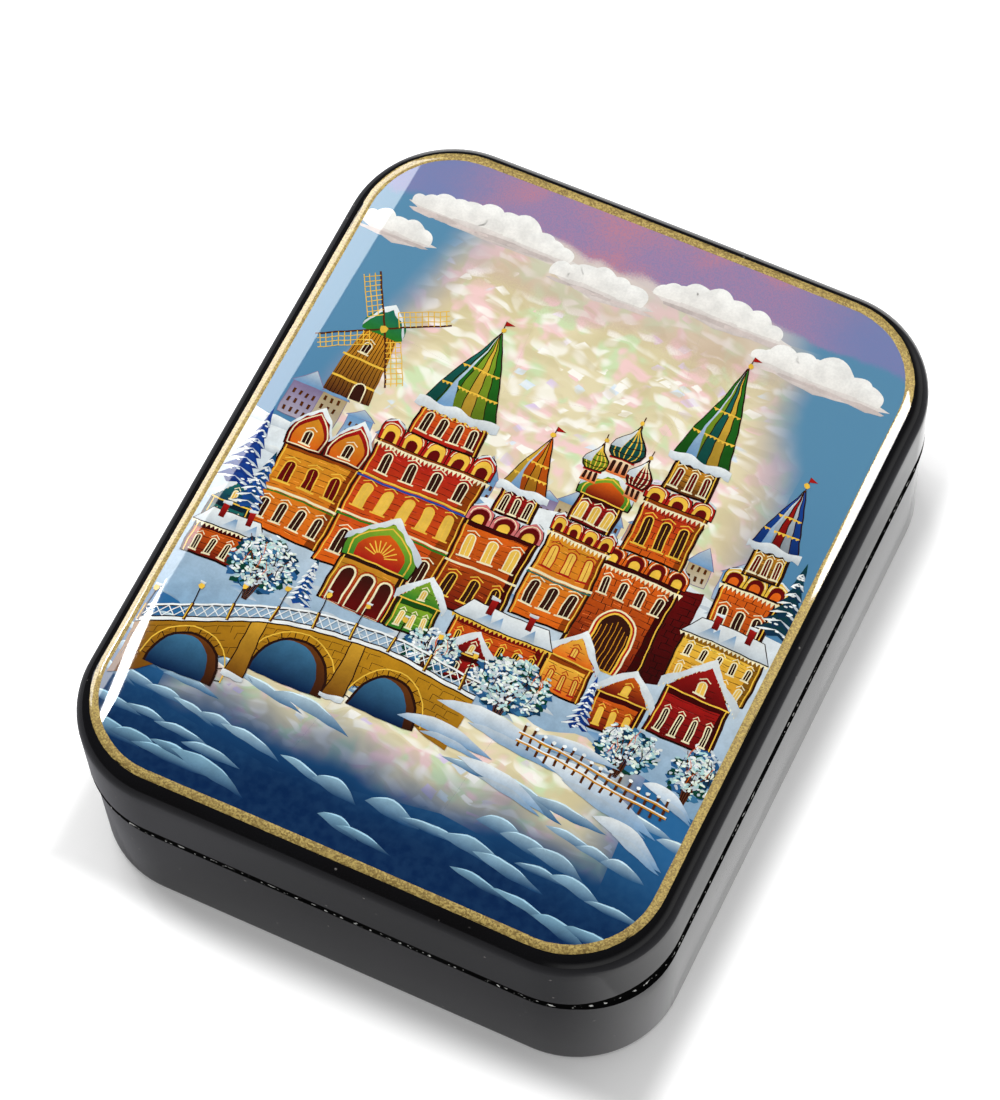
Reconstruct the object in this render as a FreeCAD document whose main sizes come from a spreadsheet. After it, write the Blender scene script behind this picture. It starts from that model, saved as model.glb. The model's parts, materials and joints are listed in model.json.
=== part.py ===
import FreeCAD, Part
import os
import Sketcher

# A hinged box of lacquered papier-mache, 80 by 100 mm, with a picture laid over mother-of-pearl in
# its lid. +Z is up, +X runs across the width and +Y towards the hinge. The origin is at the middle
# of the underside. The lid's outline is the reference: every other outline is stepped in from it.

SIZES = {
    # whole box
    "box_width": 79.6,
    "box_length": 100.0,
    "box_height": 31.6,
    "corner_radius": 14.0,
    "parting_height": 18.2,
    "wall_thickness": 3.8,
    # base
    "base_inset": 0.4,
    "bottom_thickness": 3.0,
    "bottom_seat": 1.6,
    "foot_chamfer": 0.8,
    "base_rim_round": 1.0,
    "lining_thickness": 1.4,
    "lip_height": 3.2,
    "lip_clearance": 0.3,
    "lip_chamfer": 0.4,
    # lid
    "lid_plate_thickness": 4.8,
    "crown_radius": 1500.0,
    "shoulder_round": 2.8,
    "lid_rim_chamfer": 0.3,
    # picture let into the lid
    "picture_depth": 0.4,
    "gold_inset": 1.9,
    "gold_width": 1.1,
    "gold_bed_depth": 1.2,
    "pearl_margin": 6.4,
    # hinge
    "hinge_margin": 6.8,
    "hinge_setback": 1.2,
    "hinge_proud": 0.45,
    "knuckle_radius": 1.75,
    "knuckle_gap": 0.3,
    "knuckle_clearance": 0.3,
    "pin_end_cover": 3.2,
    "pin_radius": 0.5,
    "pin_clearance": 0.05,
    # how far a cutting shape runs past what it cuts
    "overrun": 5.0,
}

# Levels and insets that several pieces share, worked out from the sizes above.
LINING_INSET = "(sizes.wall_thickness + sizes.lip_clearance)"
CAVITY_INSET = "(sizes.wall_thickness + sizes.lip_clearance + sizes.lining_thickness)"
BOTTOM_INSET = "(sizes.wall_thickness + sizes.lip_clearance - sizes.bottom_seat)"
PICTURE_INSET = "(sizes.gold_inset + sizes.gold_width)"
PLATE_LEVEL = "(sizes.box_height - sizes.lid_plate_thickness)"
LIP_LEVEL = "(sizes.parting_height + sizes.lip_height)"
HINGE_Y = "(sizes.box_length / 2 - sizes.hinge_setback)"
HINGE_LENGTH = "(sizes.box_width - 2 * sizes.hinge_margin)"
PIN_LENGTH = f"({HINGE_LENGTH} - 2 * sizes.pin_end_cover)"

# The hinge rod is cut into equal lengths, taken in turn by the base and the lid.
KNUCKLES = (
    "base_knuckle_left",
    "lid_knuckle_left",
    "base_knuckle_middle",
    "lid_knuckle_right",
    "base_knuckle_right",
)
KNUCKLE_PITCH = f"({HINGE_LENGTH} / {len(KNUCKLES)})"

# Corners of the mother-of-pearl slips as shares of half the width and half the length of their
# field, row by row from the front. The joints wander, as they do between slips fitted by hand.
PEARL_CORNER_SHARES = (
    ((-0.98, -0.94), (-0.38, -1.00), (0.30, -0.92), (1.00, -0.97)),
    ((-1.00, -0.46), (-0.27, -0.55), (0.38, -0.43), (0.96, -0.52)),
    ((-0.95, 0.05), (-0.40, -0.02), (0.26, 0.07), (1.00, -0.04)),
    ((-1.00, 0.50), (-0.30, 0.44), (0.40, 0.55), (0.97, 0.47)),
    ((-0.96, 0.96), (-0.36, 1.00), (0.31, 0.93), (1.00, 0.98)),
)

LEVEL_TOLERANCE = 0.001
ORIGIN_POINT = (-1, 1)

os.makedirs("parts", exist_ok=True)
document = FreeCAD.newDocument("lacquer_box")
sheet = document.addObject("Spreadsheet::Sheet", "sizes")
for row, (alias, size) in enumerate(SIZES.items(), start=1):
    sheet.set(f"A{row}", alias)
    sheet.set(f"B{row}", str(size))
    sheet.setAlias(f"B{row}", alias)
document.recompute()


def number(expression):
    """The present value of an expression in the sheet's sizes."""
    return float(sheet.evalExpression(str(expression)))


def new_body(name):
    body = document.addObject("PartDesign::Body", name)
    body.Label = name
    return body


def new_sketch(body, plane_role, name, level=None):
    """A sketch on one of the body's own planes, moved along that plane's normal to a level."""
    sketch = body.newObject("Sketcher::SketchObject", name)
    plane = next(item for item in body.Origin.OriginFeatures if item.Role == plane_role)
    sketch.AttachmentSupport = [(plane, "")]
    sketch.MapMode = "FlatFace"
    if level is not None:
        sketch.setExpression("AttachmentOffset.Base.z", level)
    return sketch


def dimension(sketch, name, constraint, expression):
    """Adds one dimension and ties it to the sheet."""
    sketch.renameConstraint(sketch.addConstraint(constraint), name)
    sketch.setExpression(f".Constraints.{name}", expression)


def draw_outline(sketch, inset):
    """The box's rounded rectangle, stepped in from the lid's outline by the inset."""
    width = f"sizes.box_width - 2 * {inset}"
    length = f"sizes.box_length - 2 * {inset}"
    radius = f"sizes.corner_radius - {inset}"
    half_x = number(width) / 2
    half_y = number(length) / 2
    bend = number(radius)
    flat_x = half_x - bend
    flat_y = half_y - bend
    up = FreeCAD.Vector(0, 0, 1)
    quarter = FreeCAD.Units.Quantity("90 deg").getValueAs("rad").Value
    turns = (
        ((half_x, -flat_y), (half_x, flat_y), (flat_x, flat_y)),
        ((flat_x, half_y), (-flat_x, half_y), (-flat_x, flat_y)),
        ((-half_x, flat_y), (-half_x, -flat_y), (-flat_x, -flat_y)),
        ((-flat_x, -half_y), (flat_x, -half_y), (flat_x, -flat_y)),
    )
    sides = []
    corners = []
    for turn, (start, end, centre) in enumerate(turns):
        side = Part.LineSegment(FreeCAD.Vector(*start, 0), FreeCAD.Vector(*end, 0))
        circle = Part.Circle(FreeCAD.Vector(*centre, 0), up, bend)
        corner = Part.ArcOfCircle(circle, turn * quarter, (turn + 1) * quarter)
        sides.append(sketch.addGeometry(side, False))
        corners.append(sketch.addGeometry(corner, False))
    for turn, direction in enumerate(("Vertical", "Horizontal", "Vertical", "Horizontal")):
        following = sides[(turn + 1) % len(sides)]
        sketch.addConstraint(Sketcher.Constraint("Tangent", sides[turn], 2, corners[turn], 1))
        sketch.addConstraint(Sketcher.Constraint("Tangent", corners[turn], 2, following, 1))
        sketch.addConstraint(Sketcher.Constraint(direction, sides[turn]))
    for corner in corners[1:]:
        sketch.addConstraint(Sketcher.Constraint("Equal", corners[0], corner))
    opposite = Sketcher.Constraint("Symmetric", corners[0], 3, corners[2], 3, *ORIGIN_POINT)
    sketch.addConstraint(opposite)
    tag = f"outline{sides[0]}"
    across = Sketcher.Constraint("DistanceX", sides[2], 1, sides[0], 1, number(width))
    dimension(sketch, tag + "_width", across, width)
    along = Sketcher.Constraint("DistanceY", sides[3], 1, sides[1], 1, number(length))
    dimension(sketch, tag + "_length", along, length)
    rounding = Sketcher.Constraint("Radius", corners[0], bend)
    dimension(sketch, tag + "_radius", rounding, radius)


def place_point(sketch, name, geometry, vertex, first, second):
    """Fixes one vertex of a sketch at two distances from its origin."""
    across = Sketcher.Constraint("DistanceX", *ORIGIN_POINT, geometry, vertex, number(first))
    dimension(sketch, name + "_first", across, first)
    along = Sketcher.Constraint("DistanceY", *ORIGIN_POINT, geometry, vertex, number(second))
    dimension(sketch, name + "_second", along, second)


def draw_circle(sketch, first, second, radius):
    centre = FreeCAD.Vector(number(first), number(second), 0)
    circle = Part.Circle(centre, FreeCAD.Vector(0, 0, 1), number(radius))
    index = sketch.addGeometry(circle, False)
    place_point(sketch, f"circle{index}", index, 3, first, second)
    rounding = Sketcher.Constraint("Radius", index, number(radius))
    dimension(sketch, f"circle{index}_radius", rounding, radius)


def draw_polygon(sketch, corners):
    """A closed polygon, each corner given as two expressions."""
    points = [FreeCAD.Vector(number(first), number(second), 0) for first, second in corners]
    edges = []
    for start, end in zip(points, points[1:] + points[:1]):
        edges.append(sketch.addGeometry(Part.LineSegment(start, end), False))
    for edge, following in zip(edges, edges[1:] + edges[:1]):
        sketch.addConstraint(Sketcher.Constraint("Coincident", edge, 2, following, 1))
    for edge, (first, second) in zip(edges, corners):
        place_point(sketch, f"corner{edge}", edge, 1, first, second)


def pad(body, sketch, length, symmetric=False):
    feature = body.newObject("PartDesign::Pad", sketch.Name + "_pad")
    feature.Profile = sketch
    feature.SideType = "Symmetric" if symmetric else "One side"
    feature.setExpression("Length", length)
    document.recompute()
    return feature


def pocket(body, sketch, length=None, symmetric=False):
    """A cut against the sketch's normal, or to both sides of it, right through if no length is given."""
    before = body.Shape.Volume
    feature = body.newObject("PartDesign::Pocket", sketch.Name + "_pocket")
    feature.Profile = sketch
    feature.SideType = "Symmetric" if symmetric else "One side"
    if length is None:
        feature.Type = "ThroughAll"
    else:
        feature.setExpression("Length", length)
    document.recompute()
    if not body.Shape.Volume < before:
        raise RuntimeError(f"{feature.Name} cuts nothing")
    return feature


def fillet(body, feature, edges, radius):
    """Rounds the named edges of the body's last feature."""
    rounding = body.newObject("PartDesign::Fillet", feature.Name + "_fillet")
    rounding.Base = (feature, edges)
    rounding.setExpression("Radius", radius)
    document.recompute()
    return rounding


def chamfer(body, feature, edges, size):
    """Bevels the named edges of the body's last feature."""
    bevel = body.newObject("PartDesign::Chamfer", feature.Name + "_chamfer")
    bevel.Base = (feature, edges)
    bevel.setExpression("Size", size)
    document.recompute()
    return bevel


def edges_at(feature, level):
    """Names of the edges that lie in one horizontal plane."""
    height = number(level)
    return [
        f"Edge{index}"
        for index, edge in enumerate(feature.Shape.Edges, start=1)
        if all(abs(corner.Z - height) < LEVEL_TOLERANCE for corner in edge.Vertexes)
    ]


def edges_above(feature, level):
    """Names of the edges that lie wholly above a level."""
    height = number(level) + LEVEL_TOLERANCE
    return [
        f"Edge{index}"
        for index, edge in enumerate(feature.Shape.Edges, start=1)
        if all(corner.Z > height for corner in edge.Vertexes)
    ]


def block(body, inset, floor, height):
    """A solid plate of the box's outline, standing on a level."""
    sketch = new_sketch(body, "XY_Plane", body.Name + "_outline", floor)
    draw_outline(sketch, inset)
    return pad(body, sketch, height)


def hollow(body, inset, top, name):
    """Cuts the box's outline down through a body from a level."""
    sketch = new_sketch(body, "XY_Plane", f"{body.Name}_{name}", top)
    draw_outline(sketch, inset)
    return pocket(body, sketch)


def hinge_channel(body, owner):
    """The channel for the hinge rod along a wall's rear edge: a glued seat for each of the wall's
    own knuckles, and a wider run for each of the other half's. It runs out through both corners."""
    for place, knuckle in enumerate(KNUCKLES):
        start = f"{place} * {KNUCKLE_PITCH} - {HINGE_LENGTH} / 2"
        end = f"{place + 1} * {KNUCKLE_PITCH} - {HINGE_LENGTH} / 2"
        if knuckle == KNUCKLES[0]:
            start = "-(sizes.box_width / 2 + sizes.overrun)"
        if knuckle == KNUCKLES[-1]:
            end = "(sizes.box_width / 2 + sizes.overrun)"
        radius = "sizes.knuckle_radius"
        if not knuckle.startswith(owner):
            radius += " + sizes.knuckle_clearance"
        sketch = new_sketch(body, "YZ_Plane", f"{body.Name}_channel{place}", f"({start} + {end}) / 2")
        draw_circle(sketch, HINGE_Y, "sizes.parting_height", radius)
        pocket(body, sketch, f"{end} - ({start})", symmetric=True)


# Base wall: papier-mache wound round a former and glued up, bevelled at the foot and rounded at
# the rim. A rebate under it takes the bottom board.
base_wall = new_body("base_wall")
base_block = block(base_wall, "sizes.base_inset", "0", "sizes.parting_height")
foot = chamfer(base_wall, base_block, edges_at(base_block, "0"), "sizes.foot_chamfer")
fillet(base_wall, foot, edges_at(foot, "sizes.parting_height"), "sizes.base_rim_round")
hollow(base_wall, LINING_INSET, "sizes.parting_height", "inside")
hollow(base_wall, BOTTOM_INSET, "sizes.bottom_thickness", "rebate")
hinge_channel(base_wall, "base")

# Bottom board, let into the wall from below and flush with it. The box stands on it.
base_bottom = new_body("base_bottom")
block(base_bottom, BOTTOM_INSET, "0", "sizes.bottom_thickness")

# Inner wall, glued inside the base. It stands proud of the rim as the lip that locates the lid.
inner_wall = new_body("inner_wall")
inner_height = f"{LIP_LEVEL} - sizes.bottom_thickness"
block(inner_wall, LINING_INSET, "sizes.bottom_thickness", inner_height)
inner_ring = hollow(inner_wall, CAVITY_INSET, LIP_LEVEL, "inside")
chamfer(inner_wall, inner_ring, edges_at(inner_ring, LIP_LEVEL), "sizes.lip_chamfer")

# Lid wall: a wound ring like the base's, but not stepped in, so the lid stands out a little all
# round.
lid_wall = new_body("lid_wall")
lid_block = block(lid_wall, "0", "sizes.parting_height", f"{PLATE_LEVEL} - sizes.parting_height")
lid_rim_edges = edges_at(lid_block, "sizes.parting_height")
chamfer(lid_wall, lid_block, lid_rim_edges, "sizes.lid_rim_chamfer")
hollow(lid_wall, "sizes.wall_thickness", PLATE_LEVEL, "inside")
hinge_channel(lid_wall, "lid")


def cut_crown(form, depth):
    """Bows a block's top gently across the box's width, a set depth below the lid's own crown."""
    sketch = new_sketch(form, "XZ_Plane", form.Name + "_crown")
    radius = f"(sizes.crown_radius - {depth})"
    centre_level = "(sizes.box_height - sizes.crown_radius)"
    reach = "(sizes.box_width / 2 + sizes.overrun)"
    top = "(sizes.box_height + 2 * sizes.overrun)"
    edge_level = number(f"{centre_level} + sqrt({radius} ^ 2 - {reach} ^ 2)")
    right_edge = FreeCAD.Vector(number(reach), edge_level, 0)
    left_edge = FreeCAD.Vector(-number(reach), edge_level, 0)
    right_top = FreeCAD.Vector(number(reach), number(top), 0)
    left_top = FreeCAD.Vector(-number(reach), number(top), 0)
    summit = FreeCAD.Vector(0, number(f"{centre_level} + {radius}"), 0)
    arc = sketch.addGeometry(Part.Arc(right_edge, summit, left_edge), False)
    left = sketch.addGeometry(Part.LineSegment(left_edge, left_top), False)
    cover = sketch.addGeometry(Part.LineSegment(left_top, right_top), False)
    right = sketch.addGeometry(Part.LineSegment(right_top, right_edge), False)
    sketch.addConstraint(Sketcher.Constraint("Coincident", arc, 2, left, 1))
    sketch.addConstraint(Sketcher.Constraint("Coincident", left, 2, cover, 1))
    sketch.addConstraint(Sketcher.Constraint("Coincident", cover, 2, right, 1))
    sketch.addConstraint(Sketcher.Constraint("Coincident", right, 2, arc, 1))
    sketch.addConstraint(Sketcher.Constraint("Vertical", arc, 3, *ORIGIN_POINT))
    sketch.addConstraint(Sketcher.Constraint("Vertical", left))
    sketch.addConstraint(Sketcher.Constraint("Vertical", right))
    centre = Sketcher.Constraint("DistanceY", arc, 3, *ORIGIN_POINT, -number(centre_level))
    dimension(sketch, "centre_depth", centre, f"-{centre_level}")
    rounding = Sketcher.Constraint("Radius", arc, number(radius))
    dimension(sketch, "crown_radius", rounding, radius)
    place_point(sketch, "left_top", cover, 1, f"-{reach}", top)
    place_point(sketch, "right_top", right, 1, reach, top)
    return pocket(form, sketch, "sizes.box_length + 2 * sizes.overrun", symmetric=True)


def crowned_form(name, inset, depth):
    """A block of the box's outline from the lid board's underside up to its crown, or to a set
    depth below the crown."""
    form = new_body(name)
    block(form, inset, PLATE_LEVEL, "sizes.lid_plate_thickness + sizes.overrun")
    return form, cut_crown(form, depth)


def prism(name, level):
    """An empty body and a sketch at a level inside the lid board, for a shape to be drawn in and
    raised through the board."""
    body = new_body(name)
    return body, new_sketch(body, "XY_Plane", name + "_plan", level)


def raised(body, sketch):
    pad(body, sketch, "sizes.lid_plate_thickness + sizes.overrun")
    return body


def combined(kind, name, base, tool):
    result = document.addObject(f"Part::{kind}", name)
    result.Label = name
    result.Base = base
    result.Tool = tool
    document.recompute()
    return result


# Lid board: crowned, with a round shoulder between crown and edge. A shallow bed in its top takes
# the picture and follows the crown at one depth. A flat channel round the bed takes the gold line.
board_form, board_crown = crowned_form("board_form", "0", "0")
fillet(board_form, board_crown, edges_above(board_crown, PLATE_LEVEL), "sizes.shoulder_round")
picture_block, picture_crown = crowned_form("picture_block", PICTURE_INSET, "0")
bed_core, bed_crown = crowned_form("bed_core", PICTURE_INSET, "sizes.picture_depth")
picture_form = combined("Common", "picture_form", board_form, picture_block)
picture_layer = combined("Cut", "picture_layer", picture_form, bed_core)
bedded_board = combined("Cut", "bedded_board", board_form, picture_layer)

# Gold line: gold powder in varnish, laid round the picture on the inner side of the shoulder.
gold_floor = "sizes.box_height - sizes.gold_bed_depth"
gold_body, gold_plan = prism("gold_plan", gold_floor)
draw_outline(gold_plan, "sizes.gold_inset")
draw_outline(gold_plan, PICTURE_INSET)
gold_border = combined("Common", "gold_border", board_form, raised(gold_body, gold_plan))
lid_plate = combined("Cut", "lid_plate", bedded_board, gold_body)

# Mother-of-pearl: twelve thin slips fitted to each other in the middle of the picture.
PEARL_HALF_WIDTH = f"(sizes.box_width / 2 - {PICTURE_INSET} - sizes.pearl_margin)"
PEARL_HALF_LENGTH = f"(sizes.box_length / 2 - {PICTURE_INSET} - sizes.pearl_margin)"
pearl_corners = [
    [(f"{across} * {PEARL_HALF_WIDTH}", f"{along} * {PEARL_HALF_LENGTH}") for across, along in row]
    for row in PEARL_CORNER_SHARES
]
pearl_plans = []
pearl_slips = []
for front_row, rear_row in zip(pearl_corners, pearl_corners[1:]):
    for column in range(len(front_row) - 1):
        count = len(pearl_slips) + 1
        body, plan = prism(f"pearl_plan_{count}", PLATE_LEVEL)
        front_side = front_row[column : column + 2]
        rear_side = rear_row[column : column + 2]
        draw_polygon(plan, front_side + rear_side[::-1])
        pearl_plans.append(raised(body, plan))
        slip = combined("Common", f"pearl_slip_{count}", picture_layer, pearl_plans[-1])
        pearl_slips.append(slip)

# Picture ground: the levelled priming that fills the bed round the mother-of-pearl.
pearl_field = document.addObject("Part::MultiFuse", "pearl_field")
pearl_field.Shapes = pearl_plans
document.recompute()
picture_ground = combined("Cut", "picture_ground", picture_layer, pearl_field)

# Hinge: a rod of the same wound stuff, sawn into five knuckles that are glued to the base and the
# lid in turn, and planed back close to the walls, round the corners too. A brass pin runs through
# them, tight in the base's knuckles and free in the lid's, and stops short of the rod's ends.
trim_body = new_body("hinge_trim")
trim_plan = new_sketch(trim_body, "XY_Plane", "hinge_trim_plan", "sizes.parting_height")
draw_outline(trim_plan, "(-sizes.hinge_proud)")
pad(trim_body, trim_plan, "2 * (sizes.knuckle_radius + sizes.overrun)", symmetric=True)

knuckles = []
for place, name in enumerate(KNUCKLES):
    rod = new_body(name + "_rod")
    middle = f"({2 * place + 1} * {KNUCKLE_PITCH} - {HINGE_LENGTH}) / 2"
    section = new_sketch(rod, "YZ_Plane", name + "_section", middle)
    draw_circle(section, HINGE_Y, "sizes.parting_height", "sizes.knuckle_radius")
    pad(rod, section, f"{KNUCKLE_PITCH} - sizes.knuckle_gap", symmetric=True)
    bore_radius = "sizes.pin_radius"
    if name.startswith("lid"):
        bore_radius += " + sizes.pin_clearance"
    bore = new_sketch(rod, "YZ_Plane", name + "_bore")
    draw_circle(bore, HINGE_Y, "sizes.parting_height", bore_radius)
    pocket(rod, bore, PIN_LENGTH, symmetric=True)
    knuckles.append(combined("Common", name, rod, trim_body))

hinge_pin = new_body("hinge_pin")
pin_section = new_sketch(hinge_pin, "YZ_Plane", "hinge_pin_section")
draw_circle(pin_section, HINGE_Y, "sizes.parting_height", "sizes.pin_radius")
pad(hinge_pin, pin_section, PIN_LENGTH, symmetric=True)

pieces = [base_wall, base_bottom, inner_wall, lid_wall, lid_plate, gold_border, picture_ground]
pieces += pearl_slips + knuckles + [hinge_pin]

document.recompute()
for item in document.Objects:
    if "Invalid" in item.State or "Error" in item.State:
        raise RuntimeError(f"{item.Name} failed: {item.State}")
for piece in pieces:
    if piece.Shape.isNull() or not piece.Shape.isValid():
        raise RuntimeError(f"{piece.Label} has no valid shape")
for piece in pieces:
    piece.Shape.exportStep(f"parts/{piece.Label}.step")
    print(piece.Label, len(piece.Shape.Solids), round(piece.Shape.Volume, 3))
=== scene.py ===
import json
import math
import random

import bmesh
import bpy
import numpy as np
from mathutils import Matrix, Quaternion, Vector

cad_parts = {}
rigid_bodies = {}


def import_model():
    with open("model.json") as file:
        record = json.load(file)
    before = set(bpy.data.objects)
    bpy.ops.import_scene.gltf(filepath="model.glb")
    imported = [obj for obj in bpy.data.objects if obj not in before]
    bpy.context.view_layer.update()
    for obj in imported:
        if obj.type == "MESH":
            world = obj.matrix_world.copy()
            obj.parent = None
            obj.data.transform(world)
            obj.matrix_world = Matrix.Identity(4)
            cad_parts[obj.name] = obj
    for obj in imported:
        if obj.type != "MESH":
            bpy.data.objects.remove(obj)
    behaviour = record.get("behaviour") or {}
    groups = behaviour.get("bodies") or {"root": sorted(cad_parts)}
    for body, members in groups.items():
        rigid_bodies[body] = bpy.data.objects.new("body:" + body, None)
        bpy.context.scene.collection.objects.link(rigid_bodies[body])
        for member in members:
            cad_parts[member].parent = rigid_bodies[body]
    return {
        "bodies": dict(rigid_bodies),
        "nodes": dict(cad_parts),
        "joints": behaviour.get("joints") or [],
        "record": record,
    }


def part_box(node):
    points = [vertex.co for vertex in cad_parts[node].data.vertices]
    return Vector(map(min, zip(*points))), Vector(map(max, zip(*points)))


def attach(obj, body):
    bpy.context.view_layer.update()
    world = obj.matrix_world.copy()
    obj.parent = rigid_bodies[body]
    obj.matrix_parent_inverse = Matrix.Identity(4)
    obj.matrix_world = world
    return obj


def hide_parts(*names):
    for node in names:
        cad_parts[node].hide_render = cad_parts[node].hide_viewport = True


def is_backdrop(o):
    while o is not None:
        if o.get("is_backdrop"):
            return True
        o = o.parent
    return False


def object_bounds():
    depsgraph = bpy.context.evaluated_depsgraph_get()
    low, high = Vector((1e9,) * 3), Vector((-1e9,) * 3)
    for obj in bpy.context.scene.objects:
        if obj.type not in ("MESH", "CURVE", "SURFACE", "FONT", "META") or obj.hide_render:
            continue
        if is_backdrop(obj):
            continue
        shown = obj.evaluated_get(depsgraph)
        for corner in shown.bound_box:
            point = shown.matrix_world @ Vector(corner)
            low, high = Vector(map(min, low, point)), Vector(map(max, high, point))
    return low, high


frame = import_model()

cad_low, cad_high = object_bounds()

# Bottom board. A flat plate of pressed papier-mache, glued into a rebate of the base wall from
# below. It is lacquered black underneath, where the box stands, and cinnabar red inside the box.

MM = 0.001
HALF_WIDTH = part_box("lid_wall")[1][0]
HALF_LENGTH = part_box("lid_wall")[1][1]
CORNER_RADIUS = 14 * MM
CORNER_STEPS = 20
SIDE_STEPS = 10
TANGENT_STEP = 0.5 * MM
BOARD_EDGE_ROUND = 0.2 * MM
SMOOTH_ANGLE = math.radians(32)


def outline(inset):
    """Points round the box's plan, anticlockwise, stepped in from the lid's own outline."""
    points = []
    bend = CORNER_RADIUS - inset
    signs = ((1, 1), (-1, 1), (-1, -1), (1, -1))
    ends = []
    for turn, (side_x, side_y) in enumerate(signs):
        centre = np.array((side_x * (HALF_WIDTH - CORNER_RADIUS), side_y * (HALF_LENGTH - CORNER_RADIUS)))
        angles = math.pi / 2 * (turn + np.linspace(0, 1, CORNER_STEPS + 1))
        ends.append(centre + bend * np.c_[np.cos(angles), np.sin(angles)])
    for corner, following in zip(ends, ends[1:] + ends[:1]):
        start, end = corner[-1], following[0]
        near = TANGENT_STEP / np.linalg.norm(end - start)
        steps = np.r_[near, np.linspace(0, 1, SIDE_STEPS)[1:-1], 1 - near]
        points += [corner, start + steps[:, None] * (end - start)]
    return np.vstack(points)


def rounded(inset, level, radius, start, end, steps=5):
    """Profile points round a quarter circle, for an edge that is rubbed or turned round."""
    angles = np.radians(np.linspace(start, end, steps))
    return [(inset + radius * math.cos(a), level + radius * math.sin(a)) for a in angles]


def bridge_rings(bm, pairs):
    """Faces between neighbouring rings of points, listed pair by pair."""
    faces = []
    for lower, upper in pairs:
        for here in range(len(lower)):
            there = (here + 1) % len(lower)
            faces.append(bm.faces.new((lower[here], lower[there], upper[there], upper[here])))
    return faces


def swept(name, profile, caps=False, inside=()):
    """A solid whose profile, given as insets and levels, runs round the box's outline. Without caps
    the profile closes on itself. inside lists the points of the profile after which the piece's
    second material lies, and -1 stands for the first cap."""
    bm = bmesh.new()
    rings = []
    for inset, level in profile:
        rings.append([bm.verts.new((x, y, level)) for x, y in outline(inset)])
    pairs = list(zip(rings, rings[1:]))
    if not caps:
        pairs.append((rings[-1], rings[0]))
    for place, face in enumerate(bridge_rings(bm, pairs)):
        face.material_index = int(place // len(rings[0]) in inside)
    if caps:
        first = bm.faces.new(rings[0])
        last = bm.faces.new(rings[-1])
        first.material_index = int(-1 in inside)
        last.material_index = int(len(pairs) in inside)
    bmesh.ops.recalc_face_normals(bm, faces=bm.faces)
    return piece_from(name, bm)


def piece_from(name, bm):
    """A new piece, with its rounds smooth and its edges crisp."""
    mesh = bpy.data.meshes.new(name)
    bm.to_mesh(mesh)
    bm.free()
    piece = bpy.data.objects.new(name, mesh)
    bpy.context.scene.collection.objects.link(piece)
    smooth(mesh)
    return piece


def smooth(mesh):
    mesh.shade_smooth()
    mesh.set_sharp_from_angle(angle=SMOOTH_ANGLE)


def fill_inputs(tree, made, inputs):
    """Links the inputs that are given as sockets and sets the others."""
    for key, value in inputs.items():
        if isinstance(value, bpy.types.NodeSocket):
            tree.links.new(value, made.inputs[key])
        else:
            made.inputs[key].default_value = value


def node(tree, kind, inputs=None, **settings):
    """A shader node with its inputs and its settings."""
    made = tree.nodes.new(kind)
    for key, value in settings.items():
        setattr(made, key, value)
    fill_inputs(tree, made, inputs or {})
    return made


def maths(tree, operation, first, second=0.0, clamp=False):
    made = node(tree, "ShaderNodeMath", {0: first, 1: second}, operation=operation)
    made.use_clamp = clamp
    return made.outputs[0]


def times(tree, first, second):
    return maths(tree, "MULTIPLY", first, second)


def plus(tree, first, second):
    return maths(tree, "ADD", first, second)


def minus(tree, first, second):
    return maths(tree, "SUBTRACT", first, second)


def larger(tree, first, second):
    return maths(tree, "MAXIMUM", first, second)


def fade(tree, value, low, high, to_low=0.0, to_high=1.0):
    """A smooth step of a value between two limits."""
    limits = {"Value": value, "From Min": low, "From Max": high, "To Min": to_low, "To Max": to_high}
    return node(tree, "ShaderNodeMapRange", limits, interpolation_type="SMOOTHSTEP").outputs[0]


def mix(tree, factor, first, second):
    inputs = {0: factor, 6: first, 7: second}
    return node(tree, "ShaderNodeMix", inputs, data_type="RGBA").outputs[2]


NOISE_SPREAD = (0.3, 0.7)


def noise(tree, place, scale, detail=2.0, rough=0.5):
    """A soft pattern. Nearly all of it lies within NOISE_SPREAD."""
    inputs = {"Vector": place, "Scale": scale, "Detail": detail, "Roughness": rough}
    return node(tree, "ShaderNodeTexNoise", inputs).outputs["Fac"]


def stretched(tree, place, turn, scale):
    """A place turned about the upright and stretched, for a pattern that runs one way."""
    inputs = {"Vector": place, "Rotation": (0, 0, turn), "Scale": scale}
    return node(tree, "ShaderNodeMapping", inputs).outputs[0]


def own_place(tree):
    """Where on the piece a point is, in metres of the box's frame."""
    return node(tree, "ShaderNodeTexCoord").outputs["Object"]


def split_up(tree, vector):
    """A vector's three parts, by their names."""
    return node(tree, "ShaderNodeSeparateXYZ", {0: vector}).outputs


def new_group(name, inputs, outputs):
    """A shader group with its named inputs and outputs. Each input gives its kind and its value."""
    tree = bpy.data.node_groups.new(name, "ShaderNodeTree")
    for label, (kind, value) in inputs.items():
        socket = tree.interface.new_socket(label, in_out="INPUT", socket_type=kind)
        socket.default_value = value
    for label, kind in outputs.items():
        tree.interface.new_socket(label, in_out="OUTPUT", socket_type=kind)
    return tree, node(tree, "NodeGroupInput"), node(tree, "NodeGroupOutput")


def use_group(tree, group, inputs=None):
    """Places a shader group in a material, with the material's own values."""
    made = tree.nodes.new("ShaderNodeGroup")
    made.node_tree = group
    fill_inputs(tree, made, inputs or {})
    return made


def new_material(name):
    material = bpy.data.materials.new(name)
    material.use_nodes = True
    tree = material.node_tree
    return material, tree, tree.nodes["Principled BSDF"]


def bumped(tree, shader, height, distance, strength=1.0):
    """Raises a material's surface by a height."""
    inputs = {"Height": height, "Distance": distance, "Strength": strength}
    tree.links.new(node(tree, "ShaderNodeBump", inputs).outputs["Normal"], shader.inputs["Normal"])


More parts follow.
